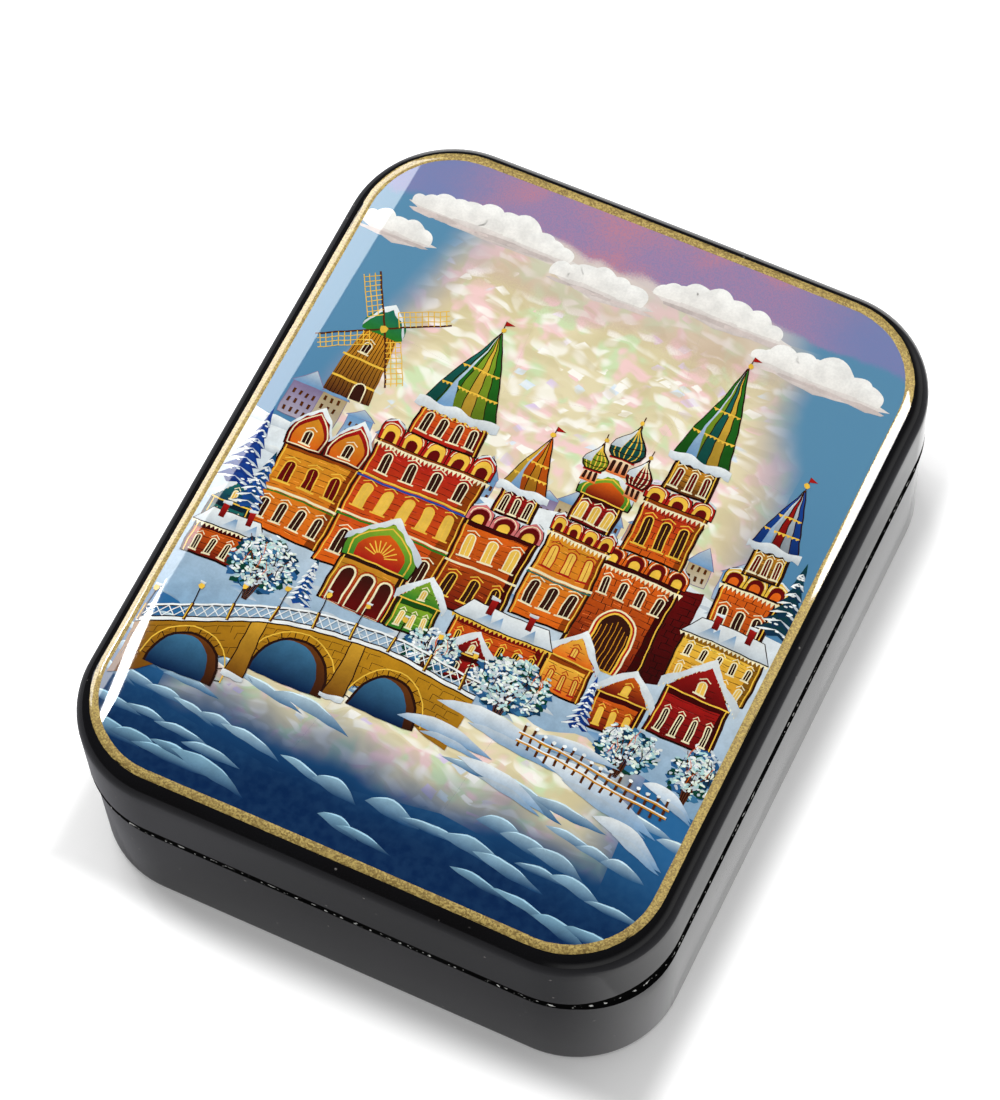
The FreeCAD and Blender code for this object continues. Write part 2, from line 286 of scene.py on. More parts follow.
# What handling leaves on gloss: a faint unevenness from rubbing down, hairline scratches, and
# specks of dust caught in the last coat. Each lacquer gives its roughness where it is polished
# and where it is hazed.
POLISHED = (0.035, 0.11)
SCRATCHES_DOWN = {"turn": 0.7, "scale": (60, 1400, 60), "edge": (0.70, 0.78)}
SCRATCHES_ACROSS = {"turn": -0.5, "scale": (1700, 45, 60), "edge": (0.72, 0.79)}
SCRATCHED_PATCHES, PATCH_EDGE = 70.0, (0.50, 0.66)
SCRATCH_DEPTH = 0.08
SCRATCH_HAZE = 0.25
SPECK_CELLS, SPECK_EDGE = 520.0, (0.12, 0.05)
SPECK_GROUPS, SPECK_GROUP_EDGE = 260.0, (0.60, 0.66)
RUBBING, RUBBING_DEPTH = 140.0, 0.35
HAZE_PATCHES, HAZE_EDGE = 45.0, (0.2, 1.0)

HANDLED, inlet, outlet = new_group(
    "handled_gloss",
    {"Polished": ("NodeSocketFloat", POLISHED[0]), "Hazed": ("NodeSocketFloat", POLISHED[1])},
    {"Height": "NodeSocketFloat", "Specks": "NodeSocketFloat", "Roughness": "NodeSocketFloat"},
)
place = own_place(HANDLED)


def scratches(turn, scale, edge):
    """Hairline scratches that run one way."""
    return fade(HANDLED, noise(HANDLED, stretched(HANDLED, place, turn, scale), 1.0, 1.0), *edge)


scratched = plus(HANDLED, scratches(**SCRATCHES_DOWN), scratches(**SCRATCHES_ACROSS))
patchy = fade(HANDLED, noise(HANDLED, place, SCRATCHED_PATCHES), *PATCH_EDGE)
scratched = times(HANDLED, scratched, patchy)
cells = node(HANDLED, "ShaderNodeTexVoronoi", {"Vector": place, "Scale": SPECK_CELLS})
lone = fade(HANDLED, noise(HANDLED, place, SPECK_GROUPS, 0.0), *SPECK_GROUP_EDGE)
speck = times(HANDLED, fade(HANDLED, cells.outputs["Distance"], *SPECK_EDGE), lone)
rubbed = times(HANDLED, noise(HANDLED, place, RUBBING), RUBBING_DEPTH)
height = minus(HANDLED, plus(HANDLED, rubbed, speck), times(HANDLED, scratched, SCRATCH_DEPTH))
hazy = noise(HANDLED, place, HAZE_PATCHES)
hazed = maths(HANDLED, "ADD", times(HANDLED, scratched, SCRATCH_HAZE), hazy, clamp=True)
roughness = fade(HANDLED, hazed, *HAZE_EDGE, inlet.outputs["Polished"], inlet.outputs["Hazed"])
HANDLED.links.new(height, outlet.inputs["Height"])
HANDLED.links.new(speck, outlet.inputs["Specks"])
HANDLED.links.new(roughness, outlet.inputs["Roughness"])

BLACK_LACQUER = (0.0045, 0.0045, 0.0055, 1)
BLACK_THICK = (0.0035, 0.003, 0.0035, 1)
RED_LACQUER = (0.34, 0.016, 0.010, 1)
RED_THICK = (0.22, 0.008, 0.006, 1)
PALE_DUST = (0.30, 0.28, 0.26, 1)
RED_DUST = (0.5, 0.25, 0.2, 1)
DUST_SHARE = 0.6
COAT_CLOUDS, COAT_CLOUD_EDGE = 55.0, (0.35, 0.7)
HANDLED_DEPTH = 0.012 * MM
LACQUER_IOR = 1.5


def lacquer(name, colour, thick, dust=PALE_DUST, rough=POLISHED):
    """Oil lacquer rubbed down over papier-mache, a little different where its coats are thicker."""
    material, tree, shader = new_material(name)
    handled = use_group(tree, HANDLED, {"Polished": rough[0], "Hazed": rough[1]})
    cloud = fade(tree, noise(tree, own_place(tree), COAT_CLOUDS, 3.0), *COAT_CLOUD_EDGE)
    specks = times(tree, handled.outputs["Specks"], DUST_SHARE)
    body = mix(tree, specks, mix(tree, cloud, colour, thick), dust)
    tree.links.new(body, shader.inputs["Base Color"])
    tree.links.new(handled.outputs["Roughness"], shader.inputs["Roughness"])
    shader.inputs["IOR"].default_value = LACQUER_IOR
    bumped(tree, shader, handled.outputs["Height"], HANDLED_DEPTH)
    return material


black_lacquer = lacquer("black_lacquer", BLACK_LACQUER, BLACK_THICK)
red_lacquer = lacquer("red_lacquer", RED_LACQUER, RED_THICK, RED_DUST)


def dress(piece, materials, body, replaced=()):
    """Gives a piece its materials, sets the body it moves with and hides the CAD parts it replaces."""
    for material in materials:
        piece.data.materials.append(material)
    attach(piece, body)
    if replaced:
        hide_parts(*replaced)


board_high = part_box("base_bottom")[1]
BOTTOM_INSET = HALF_WIDTH - board_high[0]
BOTTOM_TOP = board_high[2]
bottom_profile = [(BOTTOM_INSET + BOARD_EDGE_ROUND, 0), (BOTTOM_INSET, BOARD_EDGE_ROUND),
                  (BOTTOM_INSET, BOTTOM_TOP)]
bottom_board = swept("bottom_board", bottom_profile, caps=True, inside=(2,))
dress(bottom_board, (black_lacquer, red_lacquer), "base", ["base_bottom"])

# Base wall. Paper wound on a former in glue and baked in oil, then turned round at the foot and the
# rim and lacquered black, a little duller than the lid and unpolished up in the parting, where the
# matt band is painted shade of the gap under the lid. Its rear edge is grooved for the hinge rod.

WALL_THICKNESS = 3.8 * MM
LIP_CLEARANCE = 0.3 * MM
LINING_INSET = WALL_THICKNESS + LIP_CLEARANCE
FOOT_ROUND = 0.8 * MM
BASE_RIM_ROUND = 1.0 * MM
BASE_INSET = HALF_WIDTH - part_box("base_wall")[1][0]
PARTING_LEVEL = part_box("base_wall")[1][2]
HINGE_Y = (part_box("hinge_pin")[0][1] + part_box("hinge_pin")[1][1]) / 2
KNUCKLE_RADIUS = (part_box("base_knuckle_middle")[1][2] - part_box("base_knuckle_middle")[0][2]) / 2
KNUCKLE_CLEARANCE = 0.3 * MM
CHANNEL_STEPS = 40
KNUCKLES = ("base_knuckle_left", "lid_knuckle_left", "base_knuckle_middle", "lid_knuckle_right",
            "base_knuckle_right")


def cut_hinge_channel(piece, owner):
    """Grooves a wall for the hinge rod: snug for its own knuckles, wider for the other half's."""
    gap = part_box(KNUCKLES[1])[0][0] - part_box(KNUCKLES[0])[1][0]
    lying = Matrix.Rotation(math.pi / 2, 4, "Y")
    cutters = []
    for knuckle in KNUCKLES:
        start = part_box(knuckle)[0][0] - gap / 2
        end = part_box(knuckle)[1][0] + gap / 2
        if knuckle == KNUCKLES[0]:
            start = -HALF_WIDTH
        if knuckle == KNUCKLES[-1]:
            end = HALF_WIDTH
        radius = KNUCKLE_RADIUS + (0 if knuckle.startswith(owner) else KNUCKLE_CLEARANCE)
        bm = bmesh.new()
        turned = Matrix.Translation(((start + end) / 2, HINGE_Y, PARTING_LEVEL)) @ lying
        bmesh.ops.create_cone(bm, cap_ends=True, segments=CHANNEL_STEPS, radius1=radius, radius2=radius,
                              depth=end - start, matrix=turned)
        cutters.append(piece_from("channel_cutter", bm))
    for cutter in cutters:
        cut = piece.modifiers.new("channel", "BOOLEAN")
        cut.operation = "DIFFERENCE"
        cut.object = cutter
    grooved = piece.evaluated_get(bpy.context.evaluated_depsgraph_get())
    mesh = bpy.data.meshes.new_from_object(grooved)
    piece.modifiers.clear()
    piece.data = mesh
    for cutter in cutters:
        bpy.data.objects.remove(cutter)
    smooth(mesh)


FOOT_POINTS = 5
RIM_POINTS = 9
# Heights of the matt band by the parting: painted shade of the gap under the lid, wider along the long sides.
MATT_SHADE_BAND = 1.3 * MM
SIDE_MATT_SHADE_BAND = 1.7 * MM
BAND_START = 0.80
BAND_FULL = 0.985
SAME_LEVEL = 0.01 * MM
DULLED_BLACK = (0.008, 0.008, 0.009, 1)
DULLED_THICK = (0.014, 0.013, 0.015, 1)
DULLED_ROUGH = (0.10, 0.20)
MATT_SHADE_BLACK = (0.003, 0.003, 0.003, 1)
MATT_SHADE_THICK = (0.005, 0.005, 0.005, 1)
MATT_SHADE_ROUGH = (0.45, 0.6)


def widen_matt_shade_band(wall, level, growth):
    """Lets the unpolished band, painted shade of the parting gap, grow along the two long sides."""
    for vertex in wall.data.vertices:
        if abs(vertex.co.z - level) < SAME_LEVEL:
            share = (abs(vertex.co.x) / HALF_WIDTH - BAND_START) / (BAND_FULL - BAND_START)
            vertex.co.z += growth * max(0.0, min(1.0, share))


base_profile = rounded(BASE_INSET + FOOT_ROUND, FOOT_ROUND, FOOT_ROUND, 270, 180, FOOT_POINTS)
base_profile.append((BASE_INSET, PARTING_LEVEL - MATT_SHADE_BAND))
base_profile += rounded(BASE_INSET + BASE_RIM_ROUND, PARTING_LEVEL - BASE_RIM_ROUND, BASE_RIM_ROUND,
                        180, 90, RIM_POINTS)
base_profile += [(LINING_INSET, PARTING_LEVEL), (LINING_INSET, BOTTOM_TOP), (BOTTOM_INSET, BOTTOM_TOP),
                 (BOTTOM_INSET, 0)]
rim_faces = range(FOOT_POINTS, FOOT_POINTS + RIM_POINTS + 1)
base_wall = swept("base_wall_lacquered", base_profile, inside=rim_faces)
widen_matt_shade_band(base_wall, PARTING_LEVEL - MATT_SHADE_BAND, -SIDE_MATT_SHADE_BAND)
cut_hinge_channel(base_wall, "base")
dulled_lacquer = lacquer("black_lacquer_dulled", DULLED_BLACK, DULLED_THICK, rough=DULLED_ROUGH)

# The band by the parting line has no gloss and is painted shade of the gap under the lid, and pale
# polishing paste sticks to its upright edge just above the line.
PASTE = (0.85, 0.85, 0.82, 1)
PASTE_GRAIN, PASTE_EDGE = 1500.0, (0.61, 0.65)
PASTE_SHARE = 0.9
PASTE_UPRIGHT = (0.85, 0.5)
PASTE_TOP = (1.0 * MM, 0.6 * MM)
PASTE_FOOT = (0.0, 0.05 * MM)

matt_shade_lacquer = lacquer("black_lacquer_matt_shade", MATT_SHADE_BLACK, MATT_SHADE_THICK, PASTE, MATT_SHADE_ROUGH)
tree = matt_shade_lacquer.node_tree
shader = tree.nodes["Principled BSDF"]
shader.inputs["Specular IOR Level"].default_value = 0.0
place = own_place(tree)
above = minus(tree, split_up(tree, place)["Z"], PARTING_LEVEL)
facing = split_up(tree, node(tree, "ShaderNodeTexCoord").outputs["Normal"])["Z"]
upright = fade(tree, maths(tree, "ABSOLUTE", facing), *PASTE_UPRIGHT, 0.0, PASTE_SHARE)
stuck = times(tree, fade(tree, noise(tree, place, PASTE_GRAIN, 1.0), *PASTE_EDGE), upright)
stuck = times(tree, stuck, fade(tree, above, *PASTE_TOP))
stuck = times(tree, stuck, fade(tree, above, *PASTE_FOOT))
body = shader.inputs["Base Color"].links[0].from_socket
tree.links.new(mix(tree, stuck, body, PASTE), shader.inputs["Base Color"])
dress(base_wall, (dulled_lacquer, matt_shade_lacquer), "base", ["base_wall"])

# Inner wall. A thinner wound ring glued inside the base. It stands proud of the rim as the lip that
# holds the lid square, and it is lacquered red with the inside of the box.

LINING_THICKNESS = 1.4 * MM
LIP_ROUND = 0.4 * MM
LIP_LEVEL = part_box("inner_wall")[1][2]
lining_profile = [(LINING_INSET, BOTTOM_TOP)]
lining_profile += rounded(LINING_INSET + LIP_ROUND, LIP_LEVEL - LIP_ROUND, LIP_ROUND, 180, 90)
lining_inner = LINING_INSET + LINING_THICKNESS
lining_profile += rounded(lining_inner - LIP_ROUND, LIP_LEVEL - LIP_ROUND, LIP_ROUND, 90, 0)
lining_profile += [(lining_inner, BOTTOM_TOP)]
inner_wall = swept("inner_wall_lacquered", lining_profile)
dress(inner_wall, (red_lacquer,), "base", ["inner_wall"])

# Hinge. A rod of the same wound stuff, sawn into five knuckles that are glued to the base and the
# lid in turn and rubbed nearly flush, with a drawn brass pin through them.

KNUCKLE_EDGE_ROUND = 0.15 * MM
BRASS_DARK = (0.72, 0.50, 0.18, 1)
BRASS_BRIGHT = (0.86, 0.66, 0.30, 1)
DRAWN_STREAKS = (30, 4000, 4000)
STREAK_ROUGH = (0.25, 0.42)
STREAK_DEPTH = 0.01 * MM


def refinish(name, material):
    """Gives a CAD piece that keeps its shape its material."""
    piece = frame["nodes"][name]
    piece.data.materials.clear()
    piece.data.materials.append(material)
    return piece


for name in KNUCKLES:
    softened = refinish(name, black_lacquer).modifiers.new("rubbed_edges", "BEVEL")
    softened.width = KNUCKLE_EDGE_ROUND
    softened.segments = 2
    softened.limit_method = "ANGLE"

brass_wire, tree, shader = new_material("brass_wire")
streaks = noise(tree, stretched(tree, own_place(tree), 0, DRAWN_STREAKS), 1.0, 3.0)
tree.links.new(mix(tree, streaks, BRASS_DARK, BRASS_BRIGHT), shader.inputs["Base Color"])
shader.inputs["Metallic"].default_value = 1.0
tree.links.new(fade(tree, streaks, *NOISE_SPREAD, *STREAK_ROUGH), shader.inputs["Roughness"])
bumped(tree, shader, streaks, STREAK_DEPTH)
refinish("hinge_pin", brass_wire)

# Lid wall. A second wound ring, a little wider than the base's, black outside and red inside. Its
# rim is only just broken and stays unpolished, a matt band of painted shade, so the parting shows as a
# dull black line.

LID_RIM_ROUND = 0.3 * MM
LID_RIM_INNER_ROUND = 0.25 * MM
LID_MATT_SHADE_BAND = 1.4 * MM
LID_SIDE_MATT_SHADE_BAND = 0.7 * MM
LID_BAND_LEVEL = PARTING_LEVEL + LID_MATT_SHADE_BAND
PLATE_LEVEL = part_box("lid_plate")[0][2]
lid_profile = [(WALL_THICKNESS, PLATE_LEVEL)]
lid_profile += rounded(WALL_THICKNESS - LID_RIM_INNER_ROUND, PARTING_LEVEL + LID_RIM_INNER_ROUND,
                       LID_RIM_INNER_ROUND, 0, -90)
lid_profile += rounded(LID_RIM_ROUND, PARTING_LEVEL + LID_RIM_ROUND, LID_RIM_ROUND, 270, 180)
lid_profile += [(0, LID_BAND_LEVEL), (0, PLATE_LEVEL)]
lid_wall = swept("lid_wall_lacquered", lid_profile, inside=(0, 1, 2, 3))
for face in lid_wall.data.polygons:
    if face.center.z < LID_BAND_LEVEL and face.material_index == 0:
        face.material_index = 2
widen_matt_shade_band(lid_wall, LID_BAND_LEVEL, LID_SIDE_MATT_SHADE_BAND)
cut_hinge_channel(lid_wall, "lid")
dress(lid_wall, (black_lacquer, red_lacquer, matt_shade_lacquer), "lid", ["lid_wall"])

# Lid board. Pressed board glued on the lid wall, turned to a round shoulder and bowed a little
# across its width. A shallow bed in its top takes the picture. It is lacquered with the wall.

CROWN_RADIUS = 1500 * MM
SHOULDER_ROUND = 2.8 * MM
SHOULDER_STEPS = 12
GOLD_INSET = 1.9 * MM
GOLD_WIDTH = 1.1 * MM
PICTURE_INSET = GOLD_INSET + GOLD_WIDTH
BED_DEPTH = 0.3 * MM
PAINT_ROOM = 0.13 * MM
CROWN_TOP = cad_high[2] - PAINT_ROOM
COLUMN = 3 * MM
CUT_NEAR = 1e-7
ROLL_START = 29.5 * MM
ROLL_REACH = 7.5 * MM
ROLL_END_SHARE = 1.4
ROLL_POWER = 1.5
SIDE_LEAN = 0.17


def crown_level(x):
    """The lid's height across its width, under the paint."""
    return CROWN_TOP - x * x / (2 * CROWN_RADIUS)


def lie_on_crown(mesh):
    """Gives a flat-laid piece the gloss of the lid, whose clear lacquer rolls off at the left side."""
    lines = np.arange(-HALF_WIDTH - COLUMN, HALF_WIDTH + 2 * COLUMN, COLUMN)
    lines = np.round(lines / COLUMN) * COLUMN
    near_side = np.clip((-lines - ROLL_START) / ROLL_REACH, 0, ROLL_END_SHARE)
    lean = lines / CROWN_RADIUS - SIDE_LEAN * near_side ** ROLL_POWER
    places = np.empty(len(mesh.vertices) * 3)
    mesh.vertices.foreach_get("co", places)
    upright = np.zeros((len(mesh.vertices), 3))
    upright[:, 0] = np.interp(places[::3], lines, lean)
    upright[:, 2] = 1
    mesh.normals_split_custom_set_from_vertices(upright)


def cut_columns(bm, faces=None):
    """Cuts faces along the same lines across the width, so that stacked layers bow alike."""
    count = int(HALF_WIDTH / COLUMN) + 1
    held = set(faces if faces is not None else bm.faces)
    for line in range(-count, count + 1):
        edges = {edge for face in held for edge in face.edges}
        corners = {corner for face in held for corner in face.verts}
        cut = bmesh.ops.bisect_plane(bm, geom=list(held) + list(edges) + list(corners),
                                     plane_co=(line * COLUMN, 0, 0), plane_no=(1, 0, 0), dist=CUT_NEAR)
        held = {part for part in cut["geom"] if isinstance(part, bmesh.types.BMFace)}


def bow(piece, floor):
    """Bows whatever of a piece stands above a level, as the lid's crown is bowed."""
    bm = bmesh.new()
    bm.from_mesh(piece.data)
    cut_columns(bm)
    for corner in bm.verts:
        if corner.co.z > floor:
            corner.co.z -= corner.co.x ** 2 / (2 * CROWN_RADIUS)
    bm.to_mesh(piece.data)
    bm.free()
    smooth(piece.data)


SHOULDER_LEVEL = CROWN_TOP - SHOULDER_ROUND
board_profile = [(WALL_THICKNESS, PLATE_LEVEL), (0, PLATE_LEVEL)]
board_profile += rounded(SHOULDER_ROUND, SHOULDER_LEVEL, SHOULDER_ROUND, 180, 90, SHOULDER_STEPS)
board_profile += [(PICTURE_INSET, CROWN_TOP), (PICTURE_INSET, CROWN_TOP - BED_DEPTH)]
lid_board = swept("lid_board_lacquered", board_profile, caps=True, inside=(-1,))
bow(lid_board, SHOULDER_LEVEL - MM / 10)
dress(lid_board, (black_lacquer, red_lacquer), "lid", ["lid_plate"])

# Picture ground and mother-of-pearl. Twelve slips of shell are fitted in the middle of the bed and
# levelled with a pale ground. Thin washes of sky and ice are laid over both and let the shell glow.

PEARL_MARGIN = 6.4 * MM
PEARL_DEPTH = 0.25 * MM
PEARL_GAP = 0.006 * MM
PEARL_LIFT = 0.003 * MM
PEARL_CORNER_SHARES = (
    ((-0.98, -0.94), (-0.38, -1.00), (0.30, -0.92), (1.00, -0.97)),
    ((-1.00, -0.46), (-0.27, -0.55), (0.38, -0.43), (0.96, -0.52)),
    ((-0.95, 0.05), (-0.40, -0.02), (0.26, 0.07), (1.00, -0.04)),
    ((-1.00, 0.50), (-0.30, 0.44), (0.40, 0.55), (0.97, 0.47)),
    ((-0.96, 0.96), (-0.36, 1.00), (0.31, 0.93), (1.00, 0.98)),
)

SKY_BLUE = (0.090, 0.235, 0.37, 1)
SKY_DEEP = (0.05, 0.165, 0.32, 1)
VIOLET = (0.34, 0.20, 0.34, 1)
VIOLET_BLUE = (0.15, 0.20, 0.40, 1)
VIOLET_ROSE = (0.47, 0.20, 0.27, 1)
CLOUD_HAZE = (0.62, 0.55, 0.52, 1)
ICE_DEEP = (0.0015, 0.017, 0.070, 1)
ICE_BLUE = (0.02, 0.12, 0.29, 1)
ROSE_MIST = (0.50, 0.33, 0.31, 1)

# Where each wash starts and ends on the lid, and how far its edge wanders and is broken up.
SIDE_WASH = (22 * MM, 32 * MM)
TOP_WASH, TOP_STIPPLE = (38.6 * MM, 41.2 * MM), 0.5
HAZE_WASH, HAZE_COVER = (33 * MM, 39 * MM), 0.9
MIST_WASH, MIST_STIPPLE, MIST_COVER = (27 * MM, 36 * MM), 0.6, 0.5
ICE_WASH = (29 * MM, 38 * MM)
SKY_TO_BLUE = (-20 * MM, 30 * MM)
ICE_TO_BLUE = (-44 * MM, -26 * MM)
SKY_TO_ICE = (-16 * MM, -26 * MM)
VIOLET_TO_SIDES, SIDE_VIOLET_BLUE = (26 * MM, 38 * MM), 0.85
CORNER_START, CORNER_DRAW = 14 * MM, 0.28
WANDER_SIZE, WANDER_SIDE, WANDER_UP = 90.0, 6 * MM, 7 * MM
STIPPLE_SIZE, STIPPLE_EDGE = 4200.0, (0.15, 0.85)
MOTTLE_SIZE, MOTTLE_EDGE, MOTTLE_SHARE = 5200.0, (0.42, 0.60), 0.45
ROSY_SIZE, ROSY_EDGE = 85.0, (0.44, 0.62)
BRUSHING = 900.0
STREAK_BLUE = (0.08, 0.24, 0.42, 1)

# The washes by place on the lid: blue down both sides, stippled violet along the top, rose mist
# under it and deep ice blue along the bottom. Cover is how far a wash hides what is under it, and
# Streaks how far the brush's blue streaks show in it.
WASHES, inlet, outlet = new_group(
    "picture_washes",
    {"Streaks": ("NodeSocketFloat", 0.0)},
    {"Color": "NodeSocketColor", "Cover": "NodeSocketFloat"},
)
place = own_place(WASHES)
x, y = split_up(WASHES, place)["X"], split_up(WASHES, place)["Y"]
wander = minus(WASHES, noise(WASHES, place, WANDER_SIZE, 3.0), 0.5)
grain = minus(WASHES, noise(WASHES, place, STIPPLE_SIZE, 2.0, 0.7), 0.5)
corner = times(WASHES, larger(WASHES, minus(WASHES, y, CORNER_START), 0.0), CORNER_DRAW)
out_x = plus(WASHES, maths(WASHES, "ABSOLUTE", x), times(WASHES, wander, WANDER_SIDE))
out_x = plus(WASHES, out_x, corner)
up_y = plus(WASHES, y, times(WASHES, wander, WANDER_UP))


def stippled(limits, spread):
    """A wash's edge, broken up by the brush's stipple."""
    soft = fade(WASHES, up_y, *limits)
    return fade(WASHES, plus(WASHES, soft, times(WASHES, grain, spread)), *STIPPLE_EDGE)


sides = fade(WASHES, out_x, *SIDE_WASH)
top = stippled(TOP_WASH, TOP_STIPPLE)
haze = times(WASHES, fade(WASHES, up_y, *HAZE_WASH), HAZE_COVER)
mist = times(WASHES, stippled(MIST_WASH, MIST_STIPPLE), MIST_COVER)
low = fade(WASHES, times(WASHES, up_y, -1.0), *ICE_WASH)
mottled = times(WASHES, fade(WASHES, noise(WASHES, place, MOTTLE_SIZE, 2.0, 0.7), *MOTTLE_EDGE), MOTTLE_SHARE)
rosy = fade(WASHES, noise(WASHES, place, ROSY_SIZE), *ROSY_EDGE)
blue = mix(WASHES, fade(WASHES, y, *SKY_TO_BLUE), SKY_DEEP, SKY_BLUE)
violet = mix(WASHES, mottled, mix(WASHES, rosy, VIOLET, VIOLET_ROSE), VIOLET_BLUE)
violet = mix(WASHES, fade(WASHES, out_x, *VIOLET_TO_SIDES, 0.0, SIDE_VIOLET_BLUE), violet, VIOLET_BLUE)
ice = mix(WASHES, fade(WASHES, up_y, *ICE_TO_BLUE), ICE_DEEP, ICE_BLUE)
colour = mix(WASHES, haze, ROSE_MIST, CLOUD_HAZE)
colour = mix(WASHES, sides, colour, blue)
colour = mix(WASHES, top, colour, violet)
colour = mix(WASHES, fade(WASHES, y, *SKY_TO_ICE), colour, ice)
brushed = fade(WASHES, noise(WASHES, place, BRUSHING, 4.0), *NOISE_SPREAD, 0.0, inlet.outputs["Streaks"])
colour = mix(WASHES, brushed, colour, STREAK_BLUE)
cover = larger(WASHES, larger(WASHES, sides, top), larger(WASHES, mist, low))
cover = larger(WASHES, cover, haze)
WASHES.links.new(colour, outlet.inputs["Color"])
WASHES.links.new(cover, outlet.inputs["Cover"])

COAT_ROUGHNESS = 0.03
PAINT_ROUGHNESS = 0.45
SHELL_ROUGHNESS = 0.30
GROUND_STREAKS = 0.05


def varnished(shader, roughness=None):
    """The clear lacquer over the whole picture, rubbed down and polished. What lies under it is
    given its own roughness and takes no gloss of its own."""
    shader.inputs["Coat Weight"].default_value = 1.0
    shader.inputs["Coat Roughness"].default_value = COAT_ROUGHNESS
    shader.inputs["Coat IOR"].default_value = LACQUER_IOR
    if roughness is not None:
        shader.inputs["Roughness"].default_value = roughness
        shader.inputs["Specular IOR Level"].default_value = 0.0


picture_ground_paint, tree, shader = new_material("picture_ground_paint")
washes = use_group(tree, WASHES, {"Streaks": GROUND_STREAKS})
tree.links.new(washes.outputs["Color"], shader.inputs["Base Color"])
varnished(shader, PAINT_ROUGHNESS)

SHELL_CREAM = (0.75, 0.67, 0.43, 1)
SHELL_WHITE = (0.93, 0.91, 0.84, 1)
SHELL_ROSE = (0.86, 0.57, 0.58, 1)
SHELL_GREEN = (0.55, 0.72, 0.42, 1)
# A darker tone of the shell, used also as painted shade on the dimples.
SHELL_DARK_AND_SHADE = (0.58, 0.50, 0.28, 1)
SHELL_BLUE = (0.66, 0.76, 0.86, 1)
SHELL_LILAC = (0.68, 0.56, 0.78, 1)
SHELL_TINTS = (
    (230.0, 2.0, (0.50, 0.64), 0.80, SHELL_GREEN),
    (270.0, 2.0, (0.51, 0.64), 0.85, SHELL_ROSE),
    (320.0, 1.0, (0.56, 0.70), 0.70, SHELL_WHITE),
)
FLECK_TINTS = (((0.35, 0.45), SHELL_LILAC), ((0.60, 0.66), SHELL_ROSE), ((0.80, 0.86), SHELL_BLUE))
GROWTH_SIZE, GROWTH_BEND = 110.0, 5 * MM
RIPPLE_SIZE, RIPPLE_SMOOTH, RIPPLE_TURN, RIPPLE_STRETCH = 470.0, 0.22, 0.3, (0.5, 1.0, 1.0)
# Painted light on the dimples: a copy shifted this far, taken from them, gives a painted highlight on one
# side of each dimple and a painted shade on the other.
RIPPLE_PAINTED_LIGHT_SHIFT = (0.30 * MM, 0.42 * MM, 0)
RIPPLE_PAINTED_HIGHLIGHT, RIPPLE_PAINTED_HIGHLIGHT_SHARE = (0.05, 0.20), 0.72
RIPPLE_PAINTED_SHADE, RIPPLE_PAINTED_SHADE_SHARE = (-0.04, -0.20), 0.50
RIPPLE_DEPTH, RIPPLE_STRENGTH = 0.12 * MM, 0.5
EDGE_SIDES, EDGE_TOP, EDGE_SHARE = (10 * MM, 30 * MM), (8 * MM, 30 * MM), 0.30
CREAM_SIZE, CREAM_EDGE, CREAM_SHARE = 75.0, (0.40, 0.62), 0.55
FLECK_SIZE, FLECK_TURN, FLECK_STRETCH, FLECK_EDGE = 820.0, 0.35, (0.6, 1.0, 1.0), (0.44, 0.34)
FLECK_CHANCE, FLECK_GROUPS, FLECK_GROUP_EDGE, FLECK_SHARE = (0.62, 0.74), 210.0, (0.44, 0.58), 0.92

mother_of_pearl, tree, shader = new_material("mother_of_pearl")
place = own_place(tree)


def vector_maths(operation, inputs):
    """A sum with places, for the shell."""
    return node(tree, "ShaderNodeVectorMath", inputs, operation=operation).outputs[0]


grown = node(tree, "ShaderNodeTexNoise", {"Vector": place, "Scale": GROWTH_SIZE, "Detail": 2.0})
bent = vector_maths("SUBTRACT", {0: grown.outputs["Color"], 1: (0.5, 0.5, 0.5)})
warped = vector_maths("ADD", {0: place, 1: vector_maths("SCALE", {0: bent, "Scale": GROWTH_BEND})})


def rippled(at):
    """The hammered look of the shell's layers: long shallow dimples."""
    inputs = {"Vector": stretched(tree, at, RIPPLE_TURN, RIPPLE_STRETCH), "Scale": RIPPLE_SIZE}
    cells = node(tree, "ShaderNodeTexVoronoi", inputs, feature="SMOOTH_F1")
    cells.inputs["Smoothness"].default_value = RIPPLE_SMOOTH
    return cells.outputs["Distance"]


dimple = rippled(warped)
# Painted highlight and painted shade of the dimples, from a shifted copy of them.
glint = minus(tree, dimple, rippled(vector_maths("ADD", {0: warped, 1: RIPPLE_PAINTED_LIGHT_SHIFT})))
edge = larger(tree, fade(tree, maths(tree, "ABSOLUTE", split_up(tree, place)["X"]), *EDGE_SIDES),
              fade(tree, split_up(tree, place)["Y"], *EDGE_TOP))
broad = plus(tree, fade(tree, noise(tree, warped, CREAM_SIZE), *CREAM_EDGE), times(tree, edge, EDGE_SHARE))
shell = mix(tree, maths(tree, "MULTIPLY", broad, CREAM_SHARE, clamp=True), SHELL_CREAM, SHELL_DARK_AND_SHADE)
for size, detail, limits, share, tint in SHELL_TINTS:
    shell = mix(tree, fade(tree, noise(tree, warped, size, detail), *limits, 0.0, share), shell, tint)
laid = stretched(tree, warped, FLECK_TURN, FLECK_STRETCH)
flecks = node(tree, "ShaderNodeTexVoronoi", {"Vector": laid, "Scale": FLECK_SIZE}, distance="CHEBYCHEV")
chance = node(tree, "ShaderNodeSeparateColor", {0: flecks.outputs["Color"]})
fleck = fade(tree, flecks.outputs["Distance"], *FLECK_EDGE)
fleck = times(tree, fleck, fade(tree, chance.outputs[0], *FLECK_CHANCE))
gathered = fade(tree, noise(tree, warped, FLECK_GROUPS, 1.0), *FLECK_GROUP_EDGE)
fleck = times(tree, times(tree, fleck, gathered), FLECK_SHARE)
tinted = SHELL_WHITE
